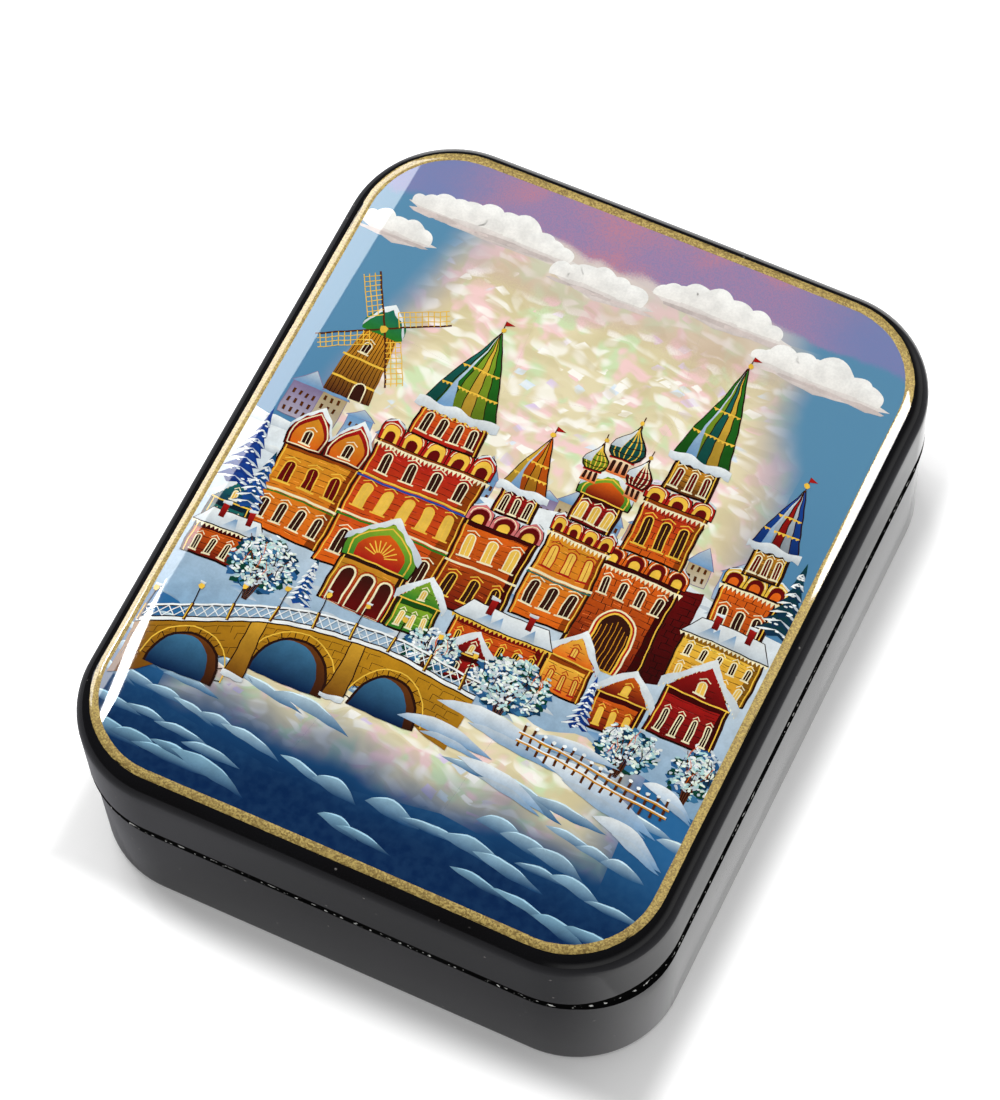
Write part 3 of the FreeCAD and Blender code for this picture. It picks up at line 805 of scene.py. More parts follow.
for limits, tint in FLECK_TINTS:
    tinted = mix(tree, fade(tree, chance.outputs[1], *limits), tinted, tint)
shell = mix(tree, fleck, shell, tinted)
shell = mix(tree, fade(tree, glint, *RIPPLE_PAINTED_HIGHLIGHT, 0.0, RIPPLE_PAINTED_HIGHLIGHT_SHARE), shell, SHELL_WHITE)
shell = mix(tree, fade(tree, glint, *RIPPLE_PAINTED_SHADE, 0.0, RIPPLE_PAINTED_SHADE_SHARE), shell, SHELL_DARK_AND_SHADE)
washes = use_group(tree, WASHES, {"Streaks": 0.0})
shell = mix(tree, washes.outputs["Cover"], shell, washes.outputs["Color"])
tree.links.new(shell, shader.inputs["Base Color"])
bare = minus(tree, 1.0, washes.outputs["Cover"])
bumped(tree, shader, times(tree, dimple, bare), RIPPLE_DEPTH, RIPPLE_STRENGTH)
varnished(shader, SHELL_ROUGHNESS)


def laid_slab(name, corners, depth, lift):
    """A thin flat piece let into the crown."""
    bm = bmesh.new()
    top = bm.faces.new([bm.verts.new((x, y, lift)) for x, y in corners])
    raised = bmesh.ops.extrude_face_region(bm, geom=[top])["geom"]
    for part in raised:
        if isinstance(part, bmesh.types.BMVert):
            part.co.z -= depth
    bmesh.ops.recalc_face_normals(bm, faces=bm.faces)
    cut_columns(bm)
    for corner in bm.verts:
        corner.co.z += crown_level(corner.co.x)
    piece = piece_from(name, bm)
    lie_on_crown(piece.data)
    return piece


picture_ground = laid_slab("picture_ground_painted", outline(PICTURE_INSET), BED_DEPTH, 0)
dress(picture_ground, (picture_ground_paint,), "lid", ["picture_ground"])

pearl_half = np.array((HALF_WIDTH, HALF_LENGTH)) - PICTURE_INSET - PEARL_MARGIN
pearl_corners = np.array(PEARL_CORNER_SHARES) * pearl_half
pearl_count = 0
for front_row, rear_row in zip(pearl_corners, pearl_corners[1:]):
    for column in range(len(front_row) - 1):
        pearl_count += 1
        corners = np.vstack((front_row[column:column + 2], rear_row[column:column + 2][::-1]))
        middle = corners.mean(axis=0)
        corners = corners - PEARL_GAP * np.sign(corners - middle)
        slip = laid_slab(f"pearl_slip_{pearl_count}_washed", corners, PEARL_DEPTH, PEARL_LIFT)
        dress(slip, (mother_of_pearl,), "lid", [f"pearl_slip_{pearl_count}"])

# Gold line. Gold powder in varnish, drawn freehand with a fine brush on the inner side of the
# shoulder, so its edges waver a little and its grain shows dark between the flakes.

GOLD_WAVER = 0.05 * MM
GOLD_LIFT = 0.009 * MM
GOLD_ACROSS = 5
WAVER_PHASE = 40
WAVERS_ROUND = (9, 23, 57)
GOLD_BRIGHT = (0.50, 0.37, 0.10, 1)
GOLD_DULL = (0.25, 0.165, 0.035, 1)
GOLD_GAP = (0.09, 0.055, 0.012, 1)
GOLD_METAL = 0.35
FLAKE_SIZE, FLAKE_EDGE, FLAKE_ROUGH = 5200.0, (0.2, 0.9), (0.38, 0.60)
FLAKE_DEPTH, FLAKE_STRENGTH = 0.02 * MM, 0.7
GAP_SIZE, GAP_EDGE, GAP_SHARE = 4200.0, (0.54, 0.68), 0.6


def shoulder_level(inset):
    """The lid's height along its shoulder, before the bow."""
    short = max(SHOULDER_ROUND - inset, 0)
    return SHOULDER_LEVEL + math.sqrt(SHOULDER_ROUND ** 2 - short ** 2)


way_out = (outline(0) - outline(MM)) / MM
turns = 2 * math.pi * np.arange(len(way_out)) / len(way_out)
bm = bmesh.new()
rings = []
insets = np.linspace(GOLD_INSET, PICTURE_INSET + GOLD_WAVER, GOLD_ACROSS)
for lift, order in ((GOLD_LIFT, insets), (-GOLD_LIFT, insets[::-1])):
    for inset in order:
        phase = WAVER_PHASE * inset / MM
        broad, short, fine = [count * turns for count in WAVERS_ROUND]
        waver = np.sin(broad + phase) + np.sin(short + 2 * phase) + np.sin(fine - phase)
        places = outline(inset) + way_out * (GOLD_WAVER / 3 * waver)[:, None]
        level = shoulder_level(inset) + lift
        rings.append([bm.verts.new((x, y, level)) for x, y in places])
bridge_rings(bm, zip(rings, rings[1:] + rings[:1]))
bmesh.ops.recalc_face_normals(bm, faces=bm.faces)
gold_line = piece_from("gold_line", bm)
bow(gold_line, 0)

gold_powder, tree, shader = new_material("gold_powder")
place = own_place(tree)
flakes = node(tree, "ShaderNodeTexVoronoi", {"Vector": place, "Scale": FLAKE_SIZE})
flake = node(tree, "ShaderNodeSeparateColor", {0: flakes.outputs["Color"]}).outputs[0]
body = mix(tree, fade(tree, flake, *FLAKE_EDGE), GOLD_DULL, GOLD_BRIGHT)
thin = times(tree, fade(tree, noise(tree, place, GAP_SIZE), *GAP_EDGE), GAP_SHARE)
tree.links.new(mix(tree, thin, body, GOLD_GAP), shader.inputs["Base Color"])
shader.inputs["Metallic"].default_value = GOLD_METAL
tree.links.new(fade(tree, flake, 0.0, 1.0, *FLAKE_ROUGH), shader.inputs["Roughness"])
bumped(tree, shader, flake, FLAKE_DEPTH, FLAKE_STRENGTH)
varnished(shader)
dress(gold_line, (gold_powder,), "lid", ["gold_border"])

# The picture. Oil and tempera laid in thin layers with fine brushes, from the sky to the snow in
# front. Every touch is a flat shape on the crown, each layer a hair above the one before.

SNOW = (0.80, 0.83, 0.82)
SNOW_GREY = (0.52, 0.58, 0.62)
SNOW_BLUE = (0.17, 0.33, 0.52)
SNOW_DEEP = (0.035, 0.13, 0.28)
DARK_LINE = (0.035, 0.011, 0.006)
BROWN = (0.11, 0.035, 0.012)
RED = (0.42, 0.018, 0.014)
DEEP_RED = (0.15, 0.006, 0.006)
ORANGE = (0.68, 0.15, 0.014)
OCHRE = (0.64, 0.31, 0.03)
YELLOW = (0.80, 0.53, 0.08)
CREAM = (0.82, 0.76, 0.52)
GREEN = (0.035, 0.22, 0.03)
LEAF_GREEN = (0.30, 0.44, 0.04)
FIR_GREEN = (0.008, 0.07, 0.045)
TEAL = (0.02, 0.17, 0.14)
BLUE_PAINT = (0.02, 0.09, 0.36)
MAUVE = (0.25, 0.20, 0.33)
ROSE = (0.62, 0.20, 0.20)
PANE = (0.05, 0.014, 0.008)
LIT_PANE = (0.75, 0.50, 0.10)

edge_from = outline(PICTURE_INSET + GOLD_WAVER) / MM
edge_way = np.roll(edge_from, -1, axis=0) - edge_from


def within_gold(points):
    """What of a shape lies inside the gold line."""
    kept = [np.array(point, float) for point in points]
    way_x, way_y = edge_way.T
    sides = [way_x * (y - edge_from[:, 1]) - way_y * (x - edge_from[:, 0]) for x, y in kept]
    crossed = np.any(np.array(sides) < 0, axis=0)
    for way, start in zip(edge_way[crossed], edge_from[crossed]):
        side = [way[0] * (y - start[1]) - way[1] * (x - start[0]) for x, y in kept]
        shorter = []
        for here in range(len(kept)):
            before, after = side[here - 1], side[here]
            if before * after < 0:
                along = kept[here] - kept[here - 1]
                shorter.append(kept[here - 1] + along * before / (before - after))
            if after >= 0:
                shorter.append(kept[here])
        kept = shorter
        if len(kept) < 3:
            return []
    return kept


HAND_REACH = 1.2
SWAY_X, SWAY_Y, SHAKE = 0.13, 0.11, 0.05


def hand_drawn(points):
    """Closely stepped points along a line that a hand leads a little astray."""
    places = []
    for start, end in zip(points, points[1:]):
        count = max(int(math.dist(start, end) / HAND_REACH), 1)
        places += [np.add(start, np.subtract(end, start) * step / count) for step in range(count)]
    x, y = np.array(places + [points[-1]], float).T
    led_x = x + SWAY_X * np.sin(0.55 * y + 0.31 * x) + SHAKE * np.sin(2.1 * y - 1.3 * x)
    led_y = y + SWAY_Y * np.sin(0.47 * x - 0.2 * y) + SHAKE * np.sin(1.9 * x + 1.1 * y)
    return np.c_[led_x, led_y]


def turned_about(x, y, turn, spots):
    """Points given from a middle, turned about it."""
    c, s = math.cos(turn), math.sin(turn)
    return [(x + u * c - v * s, y + u * s + v * c) for u, v in spots]


PAINT_BASE = 0.006 * MM
PAINT_STEP = 0.00055 * MM
MOST_TOUCHES = 60000
MET_TOGETHER = 4
TOUCH_VARY, LINE_VARY, DAB_VARY = 0.06, 0.04, 0.12
DAB_CORNERS = 6


class Paint:
    """A layer of touches, in millimetres on the lid. Each lies a hair above all that it covers."""

    laid = np.zeros((MOST_TOUCHES, 5))
    count = 0

    def __init__(self, name, seed):
        self.name = name
        self.hand = random.Random(seed)
        self.bm = bmesh.new()
        self.colours = self.bm.loops.layers.float_color.new("paint")

    def lay(self, shapes, colour, foot=None, vary=TOUCH_VARY):
        """Lays one touch. foot is its colour at the lowest point, blended upwards."""
        shapes = [within_gold(points) for points in shapes]
        shapes = [np.array(points) for points in shapes if len(points) > 2]
        if not shapes:
            return
        places = np.vstack(shapes)
        low, high = places[:, 1].min(), places[:, 1].max()
        level = 0
        under = Paint.laid[:Paint.count]
        for part in range(0, len(shapes), MET_TOGETHER):
            touched = np.vstack(shapes[part:part + MET_TOGETHER])
            x_low, y_low, x_high, y_high = *touched.min(axis=0), *touched.max(axis=0)
            met = (under[:, 0] < x_high) & (under[:, 2] > x_low)
            met &= (under[:, 1] < y_high) & (under[:, 3] > y_low)
            if met.any():
                level = max(level, under[met, 4].max() + 1)
            Paint.laid[Paint.count] = x_low, y_low, x_high, y_high, 0
            Paint.count += 1
        Paint.laid[len(under):Paint.count, 4] = level
        height = PAINT_BASE + level * PAINT_STEP
        tone = 1 + self.hand.uniform(-vary, vary)
        below = foot or colour
        for points in shapes:
            face = self.bm.faces.new([self.bm.verts.new((x * MM, y * MM, height)) for x, y in points])
            for loop, (x, y) in zip(face.loops, points):
                share = (y - low) / (high - low) if high > low else 1
                blend = [tone * (b + (c - b) * share) for b, c in zip(below, colour)]
                loop[self.colours] = blend + [1]
            face.normal_update()
            if face.normal.z < 0:
                face.normal_flip()

    def fill(self, points, colour, foot=None, vary=TOUCH_VARY):
        """A filled shape."""
        points = list(points)
        self.lay([hand_drawn(points + points[:1])[:-1]], colour, foot, vary)

    def stroke(self, points, width, colour, taper=0.0):
        """A brush line of a width, drawn out thinner towards both ends by the taper."""
        places = hand_drawn(points)
        ways = np.gradient(places, axis=0)
        ways /= np.linalg.norm(ways, axis=1)[:, None] + 1e-9
        share = np.linspace(-1, 1, len(places))
        half = width / 2 * (1 - taper * share ** 2)
        side = np.c_[-ways[:, 1], ways[:, 0]] * half[:, None]
        left, right = places + side, places - side
        parts = [(left[k], right[k], right[k + 1], left[k + 1]) for k in range(len(places) - 1)]
        self.lay(parts, colour, vary=LINE_VARY)

    def ring(self, points, width, colour):
        """A brush line all the way round a shape."""
        self.stroke(list(points) + list(points[:2]), width, colour)

    def dab(self, x, y, wide, high, colour, turn=0.0):
        """A single dab of a small brush."""
        angles = np.linspace(0, 2 * math.pi, DAB_CORNERS + 1)[:-1] + self.hand.uniform(0, 1)
        reach = [self.hand.uniform(0.75, 1.1) for _ in angles]
        spots = [(wide * r * math.cos(a), high * r * math.sin(a)) for a, r in zip(angles, reach)]
        self.lay([turned_about(x, y, turn, spots)], colour, vary=DAB_VARY)

    def dry(self):
        """Lays the touches on the crown and varnishes them in."""
        wide = [f for f in self.bm.faces
                if max(v.co.x for v in f.verts) - min(v.co.x for v in f.verts) > COLUMN]
        if wide:
            cut_columns(self.bm, wide)
        for corner in self.bm.verts:
            corner.co.z += crown_level(corner.co.x)
        mesh = bpy.data.meshes.new(self.name)
        self.bm.to_mesh(mesh)
        self.bm.free()
        mesh.shade_smooth()
        lie_on_crown(mesh)
        piece = bpy.data.objects.new(self.name, mesh)
        bpy.context.scene.collection.objects.link(piece)
        dress(piece, (oil_paint,), "lid")


VARNISH_DEEPENS = 1.18
PAINT_GRAIN, GRAIN_TONE = 3200.0, (0.96, 1.03)
PAINT_POOLS, POOL_TONE = 500.0, (0.92, 1.05)

oil_paint, tree, shader = new_material("oil_paint")
place = own_place(tree)
touched = node(tree, "ShaderNodeVertexColor", layer_name="paint").outputs["Color"]
grained = fade(tree, noise(tree, place, PAINT_GRAIN, 3.0, 0.6), *NOISE_SPREAD, *GRAIN_TONE)
pooled = fade(tree, noise(tree, place, PAINT_POOLS), *NOISE_SPREAD, *POOL_TONE)
tone = times(tree, grained, pooled)
graded = node(tree, "ShaderNodeVectorMath", {0: touched, "Scale": tone}, operation="SCALE").outputs[0]
deepened = node(tree, "ShaderNodeGamma", {"Color": graded, "Gamma": VARNISH_DEEPENS}).outputs[0]
tree.links.new(deepened, shader.inputs["Base Color"])
varnished(shader, PAINT_ROUGHNESS)


# Sky and distance. Round-topped clouds in white tempera under the violet, and a far town in faint
# mauve and ochre washes that stands against the bare shell.

clouds = Paint("painted_clouds", 11)
CLOUD_WHITE = (0.86, 0.86, 0.83)
CLOUD_FOOT = (0.79, 0.77, 0.73)


def puff(x, y, radius):
    """One round-topped lobe, flat below and thinned out into the haze."""
    turns = np.linspace(-0.15 * math.pi, 1.15 * math.pi, 22)
    wobble = 1 + 0.05 * np.sin(3 * turns + x)
    points = np.c_[x + radius * wobble * np.cos(turns), y + radius * wobble * np.sin(turns)]
    clouds.fill(points, CLOUD_WHITE, CLOUD_FOOT, vary=0)


def cloud(left, right, y, rise, seed):
    """A bank of lobes, larger in the middle, with small ones along its foot."""
    hand = random.Random(seed)
    bank = [(left - 1.5, y), (left + 2, y + 0.8), (right - 2, y + 0.8), (right + 2.0, y - 0.2),
            (right - 1, y - 1.1), ((left + right) / 2, y - 1.7), (left + 1, y - 1.0)]
    clouds.fill(bank, CLOUD_FOOT, CLOUD_HAZE[:3], vary=0)
    x = left
    while x < right:
        share = (x - left) / (right - left)
        swell = math.sin(math.pi * share)
        size = hand.uniform(1.1, 1.6) + 1.2 * swell * rise * hand.uniform(0.6, 1.1)
        puff(x, y + 0.25 * size + 0.5 * rise * swell, size)
        x += size * hand.uniform(0.85, 1.25)
    for _ in range(int(0.7 * (right - left))):
        x = hand.uniform(left, right)
        clouds.dab(x, y - 0.9, hand.uniform(1.6, 3.2), hand.uniform(0.25, 0.5), CLOUD_HAZE[:3])


cloud(-31, -10, 38.4, 1.2, 1)
cloud(-10, 1, 36.2, 0.8, 2)
cloud(3, 19, 38.8, 1.1, 3)
cloud(18, 34, 35.4, 1.2, 4)
cloud(-36, -28, 33.5, 0.5, 5)
clouds.dry()


def toned(colour, gain, lift=0.0, most=1.0):
    """A colour mixed darker or lighter."""
    return tuple(min(most, gain * part + lift) for part in colour)


def block(left, right, low, high, drawn_in=0.0):
    """An upright four-sided shape, narrower at its head by what it is drawn in."""
    return [(left, low), (right, low), (right - drawn_in, high), (left + drawn_in, high)]


far_town = Paint("painted_far_town", 12)
FAR_FRONTS = (MAUVE, (0.45, 0.36, 0.20), SNOW_BLUE, (0.50, 0.26, 0.14))
FAR_PALE, FAR_LIFT = 0.55, 0.30
FAR_LINE = 0.1
for place in range(17):
    x = -34 + 4.3 * place + far_town.hand.uniform(-1, 1)
    wide = far_town.hand.uniform(2.6, 4.8)
    high = far_town.hand.uniform(2.5, 6.0)
    foot = 2.5 + 1.5 * math.sin(0.12 * x)
    eave = foot + high
    tone = FAR_FRONTS[place % 4]
    far_town.fill(block(x, x + wide, foot, eave), tone, toned(tone, FAR_PALE, FAR_LIFT))
    far_town.ring(block(x, x + wide, foot, eave), FAR_LINE, MAUVE)
    peak = (x + wide / 2, eave + wide * far_town.hand.uniform(0.35, 0.9))
    far_town.fill([(x - 0.3, eave), (x + wide + 0.3, eave), peak], SNOW_GREY, SNOW_BLUE)
    far_town.stroke([(x - 0.3, eave), peak, (x + wide + 0.3, eave)], FAR_LINE, MAUVE)
    for column in range(int(wide / 0.9)):
        for row in range(int(high / 1.3)):
            sx, sy = x + 0.5 + 0.9 * column, foot + 0.5 + 1.3 * row
            far_town.fill(block(sx, sx + 0.35, sy, sy + 0.7), BROWN)
far_town.dry()


# Windmill. A boarded post mill on the hill behind the houses, in ochre and teal, its cap under snow
# and its four sails latticed in yellow.


def arc(x, y, wide, high, start, end, steps):
    """Points along an ellipse, by its middle, its half width and its half height."""
    return [(x + wide * math.cos(a), y + high * math.sin(a)) for a in np.linspace(start, end, steps)]


def arch(x, y, wide, high, steps=8):
    """A round-headed shape standing on its foot."""
    half = wide / 2
    spring = y + max(high - half, 0)
    return [(x - half, y), (x + half, y)] + arc(x, spring, half, half, 0, math.pi, steps)


def keel(x, y, wide, high, steps=7):
    """A barrel gable: bulging sides drawn up to a point."""
    shares = np.linspace(0, 1, steps)
    half = [wide / 2 * (1 + 0.16 * math.sin(math.pi * s)) * (1 - s ** 2.2) for s in shares]
    right = [(x + h, y + high * s ** 0.8) for h, s in zip(half, shares)]
    left = [(x - h, y + high * s ** 0.8) for h, s in zip(half, shares)][:-1]
    return right + left[::-1]


def window(paint, x, y, wide, high, frame, pane):
    """A pane in a carved and painted frame, with a sill and a little gable over it."""
    paint.fill(arch(x, y, wide, high), pane)
    paint.ring(arch(x, y, wide, high), 0.17, frame)
    paint.stroke([(x - 0.8 * wide, y - 0.1), (x + 0.8 * wide, y - 0.1)], 0.2, frame)
    paint.stroke([(x, y), (x, y + 0.9 * high)], 0.08, frame)
    peak = [(x - 0.7 * wide, y + high + 0.1), (x, y + high + 0.55), (x + 0.7 * wide, y + high + 0.1)]
    paint.stroke(peak, 0.14, frame)


def snow_cap(paint, points, thick, wave=0.25):
    """Snow lying along an edge: level-topped, with a lower edge that hangs in soft lobes."""
    places = np.array(points, float)
    shares = np.linspace(0, 1, 9)
    run = [places[k] + (places[k + 1] - places[k]) * s for k in range(len(places) - 1) for s in shares]
    under = [(x, y - 0.25 * thick - wave * abs(math.sin(2.1 * x + 0.7 * y))) for x, y in run]
    upper = [(x, y + thick * (0.75 + 0.25 * math.sin(1.3 * x))) for x, y in run]
    paint.fill(upper + under[::-1], SNOW, SNOW_GREY)


mill = Paint("painted_windmill", 13)
MILL_X, MILL_Y = -27.0, 9.0
SAIL_LENGTH, SAIL_WIDTH, SAIL_LEAN = 8.6, 2.1, 28
LATTICE_LINE = 0.12
mill.fill(block(MILL_X - 3.4, MILL_X + 3.4, MILL_Y, MILL_Y + 10, 1.2), OCHRE, BROWN)
for board in np.arange(-3.0, 3.2, 0.6):
    mill.stroke([(MILL_X + board, MILL_Y), (MILL_X + board * 0.66, MILL_Y + 10)], 0.1, DARK_LINE)
for level in (2.4, 5.6):
    mill.stroke([(MILL_X - 3.1, MILL_Y + level), (MILL_X + 3.1, MILL_Y + level)], 0.3, YELLOW)
window(mill, MILL_X - 0.8, MILL_Y + 6.6, 1.0, 1.6, CREAM, PANE)
mill.fill(arch(MILL_X + 1.2, MILL_Y, 1.7, 2.6), PANE)
mill.ring(arch(MILL_X + 1.2, MILL_Y, 1.7, 2.6), 0.18, CREAM)
mill.fill(keel(MILL_X, MILL_Y + 9.8, 5.6, 4.2), TEAL, GREEN)
snow_cap(mill, [(MILL_X - 2.9, MILL_Y + 10.6), (MILL_X - 1.6, MILL_Y + 12.9), (MILL_X, MILL_Y + 14.0),
                (MILL_X + 1.6, MILL_Y + 12.9), (MILL_X + 2.9, MILL_Y + 10.6)], 0.6, 0.3)
hub = np.array((MILL_X, MILL_Y + 10.8))
for quarter in range(4):
    turn = math.radians(SAIL_LEAN + 90 * quarter)
    arm = np.array((math.cos(turn), math.sin(turn)))
    side = np.array((-arm[1], arm[0]))
    mill.stroke([hub, hub + SAIL_LENGTH * arm], 0.26, BROWN)
    for step in np.arange(2.0, SAIL_LENGTH, 0.75):
        mill.stroke([hub + step * arm, hub + step * arm + SAIL_WIDTH * side], LATTICE_LINE, YELLOW)
    for off in (0.7, 1.4, SAIL_WIDTH):
        mill.stroke([hub + 2.0 * arm + off * side, hub + 8.4 * arm + off * side], LATTICE_LINE, YELLOW)
mill.dab(*hub, 0.6, 0.6, YELLOW, 7)
mill.dry()


# Ice and drifts. The river in front is bare shell and blue washes, and over it the drifts are laid
# as pointed touches, row over row, each fading into the ice below it.

drifts = Paint("painted_drifts", 20)
DRIFT_LIGHT, DRIFT_LIFT = 1.25, 0.08


def leaf(paint, x, y, length, belly, turn, colour, foot):
    """A snow drift as one pointed touch of a flat brush, light on its back and blue below."""
    shares = np.linspace(0, 1, 13)
    back = [(length * (s - 0.5), belly * math.sin(math.pi * s ** 0.8)) for s in shares]
    under = [(length * (s - 0.5), -0.22 * belly * math.sin(math.pi * s)) for s in shares[1:-1]]
    paint.fill(turned_about(x, y, turn, back + under[::-1]), colour, foot)


def drift(x, y, length, belly, colour, foot):
    """A drift as a flat brush lays it: pointed blades side by side, each lit along its back."""
    hand = drifts.hand
    lit = toned(colour, DRIFT_LIGHT, DRIFT_LIFT, 0.9)
    for blade in range(hand.randint(2, 4)):
        long = length * hand.uniform(0.6, 1.0)
        high = belly * hand.uniform(0.6, 1.2)
        turn = -0.10 + hand.uniform(-0.12, 0.08)
        at_x = x + length * (0.42 * blade - 0.7) + hand.uniform(-0.5, 0.5)
        at_y = y - 0.10 * (at_x - x) + hand.uniform(-0.4, 0.4)
        leaf(drifts, at_x, at_y, long, high, turn, colour, foot)
        shares = np.linspace(0.1, 0.7, 7)
        crest = [(long * (s - 0.5), high * math.sin(math.pi * s ** 0.8)) for s in shares]
        drifts.stroke(turned_about(at_x, at_y - 0.08, turn, crest), 0.22, lit, 0.9)


DRIFT_ROWS = 7
DRIFT_FAR, DRIFT_NEAR = (0.60, 0.69, 0.73), (0.27, 0.46, 0.57)
DRIFT_FOOT_FAR, DRIFT_FOOT_NEAR = (0.05, 0.19, 0.36), (0.003, 0.04, 0.13)
for row in range(DRIFT_ROWS):
    depth = row / (DRIFT_ROWS - 1)
    colour = tuple(f + (n - f) * depth for f, n in zip(DRIFT_FAR, DRIFT_NEAR))
    foot = tuple(f + (n - f) * depth for f, n in zip(DRIFT_FOOT_FAR, DRIFT_FOOT_NEAR))
    for place in range(4):
        x = -33 + 19.0 * place + drifts.hand.uniform(-4, 4) + (row % 2) * 9.5
        y = -25.5 - 3.1 * row + drifts.hand.uniform(-0.8, 0.8)
        bare = abs(x + 2 - 3 * row) < 12 and row < 5
        if bare and drifts.hand.random() < 0.8:
            continue
        drift(x, y, drifts.hand.uniform(9, 14), drifts.hand.uniform(0.9, 1.6), colour, foot)
drifts.dry()


# Hill and lanes. Snow banked up under the houses, white on its back and blue towards the river.

hill = Paint("painted_hill", 14)
ridge = [(x, 3.2 + 2.2 * math.sin(0.11 * x + 0.6) - (0.02 * x) ** 2) for x in np.linspace(-38, 38, 49)]
shore = [(x, -25 + 3.5 * math.sin(0.09 * x) + 0.6 * math.sin(0.7 * x)) for x in np.linspace(38, -38, 49)]
HILL_FOOT = (0.20, 0.36, 0.52)
hill.fill(ridge + shore, SNOW, HILL_FOOT, vary=0)
for _ in range(90):
    x, y = hill.hand.uniform(-33, 33), hill.hand.uniform(-23, 2)
    colour = (SNOW, SNOW_GREY, SNOW_BLUE)[int(3 * hill.hand.random())]
    length, belly = hill.hand.uniform(4, 9), hill.hand.uniform(0.5, 1.3)
    leaf(hill, x, y, length, belly, hill.hand.uniform(-0.35, 0.15), colour, SNOW_GREY)
hill.dry()


# The tall gate tower. Brick in red and ochre tiers with round gables between them, under a tent
# roof of green and gold boards.

COURSE_LINE = 0.09
DRIEST = 0.6


def courses(paint, left, right, low, high, gap, colour, bricks=0.0):
    """Log or brick lines on a wall, drawn with breaks as a brush leaves them."""
    hand = paint.hand
    for row, level in enumerate(np.arange(low + gap, high, gap)):
        x = left + hand.uniform(0, 0.8)
        while x < right - 0.5:
            end = min(x + hand.uniform(1.2, 4.0), right)
            middle = ((x + end) / 2, level + hand.uniform(-0.05, 0.05))
            paint.stroke([(x, level), middle, (end, level)], COURSE_LINE, colour, DRIEST)
            x = end + hand.uniform(0.1, 0.6)
        if bricks:
            for joint in np.arange(left + (row % 2) * bricks / 2 + 0.2, right, bricks):
                if hand.random() < 0.7:
                    paint.stroke([(joint, level - gap), (joint, level)], COURSE_LINE, colour)


COURSE_GAP = 0.9
WALL_SHADE = 0.42
WALL_LIGHT, WALL_LIFT = 1.5, 0.06


def wall(paint, left, right, low, high, top, foot, bricks=0.0):
    """A front with its washed colour, its log or brick lines and its dark outline."""
    front = block(left, right, low, high)
    paint.fill(front, top, foot)
    hand = paint.hand
    shade = toned(foot, WALL_SHADE)
    bright = toned(top, WALL_LIGHT, WALL_LIFT)
    middle = (low + high) / 2
    for _ in range(int((right - left) * (high - low) / 2.2)):
        share = hand.random()
        x = left + (right - left) * share
        y = hand.uniform(low + 0.2, high - 0.2)
        tone = bright if hand.random() > share * 0.7 + (0.35 if y < middle else 0.1) else shade
        length = hand.uniform(0.5, 1.4)
        if left + 0.2 < x and x + length < right - 0.2:
            touch = [(x, y), (x + length, y + hand.uniform(-0.08, 0.08))]
            paint.stroke(touch, hand.uniform(0.12, 0.3), tone, 0.8)
    wide = (right - left) * 0.16
    paint.fill([(right - wide, low), (right, low), (right, high), (right - wide * 0.6, high)], shade, shade)
    paint.fill([(left, high - 0.9), (right, high - 0.7), (right, high), (left, high)], shade, shade)
    courses(paint, left, right, low, high, COURSE_GAP, DARK_LINE, bricks)
    paint.ring(front, 0.28, DARK_LINE)
    for side in (left + 0.35, right - 0.35):
        paint.stroke([(side, low), (side, high)], 0.16, YELLOW)


def windows(paint, left, right, y, count, wide, high, frame, pane):
    """A row of windows, evenly spaced along a front."""
    for place in range(count):
        x = left + (right - left) * (place + 0.5) / count
        window(paint, x, y, wide, high, frame, pane)


def fringe(paint, start, end, drop, colour, tooth=0.55):
    """A carved board's row of teeth along an edge."""
    start, end = np.array(start, float), np.array(end, float)
    count = max(int(np.linalg.norm(end - start) / tooth), 2)
    for place in range(count):
        a = start + (end - start) * place / count
        b = start + (end - start) * (place + 1) / count
        tip = (a + b) / 2 - (0, drop)
        paint.fill([a, tip, b], colour)
    paint.stroke([start, end], 0.16, colour)


TENT_SHADE = 0.45


def tent(paint, x, y, wide, high, colours, snow=0.9):
    """A tent roof of coloured boards, snow round its foot, with a gilt ball and a pennant."""
    count = len(colours)
    for place in range(count):
        a = x + wide * (place / count - 0.5)
        b = x + wide * ((place + 1) / count - 0.5)
        board = [(a, y), (b, y), (x + 0.12, y + high), (x - 0.12, y + high)]
        paint.fill(board, colours[place], toned(colours[place], TENT_SHADE))
        paint.stroke([(a, y), (x - 0.1, y + high)], 0.13, DARK_LINE, 0.3)
    paint.stroke([(x + wide / 2, y), (x + 0.1, y + high)], 0.18, DARK_LINE, 0.3)
    for share in (0.3, 0.55):
        across = wide * (1 - share) / 2
        fringe(paint, (x - across, y + high * share), (x + across, y + high * share), 0.35, YELLOW)
    lean = 0.30 * wide
    paint.fill([(x - lean, y + 0.5), (x - 0.1, y + 0.97 * high), (x - 0.55 * lean, y + 0.35 * high),
                (x - 0.3 * lean, y + 0.5)], SNOW, SNOW_BLUE)
    snow_cap(paint, [(x - wide / 2 - 0.3, y), (x, y + 0.15), (x + wide / 2 + 0.3, y)], snow, 0.4)
    paint.stroke([(x, y + high - 0.3), (x, y + high + 1.9)], 0.14, BROWN)
    paint.dab(x, y + high + 0.6, 0.42, 0.42, YELLOW)
    paint.fill([(x, y + high + 1.9), (x + 1.2, y + high + 1.6), (x, y + high + 1.2)], RED)


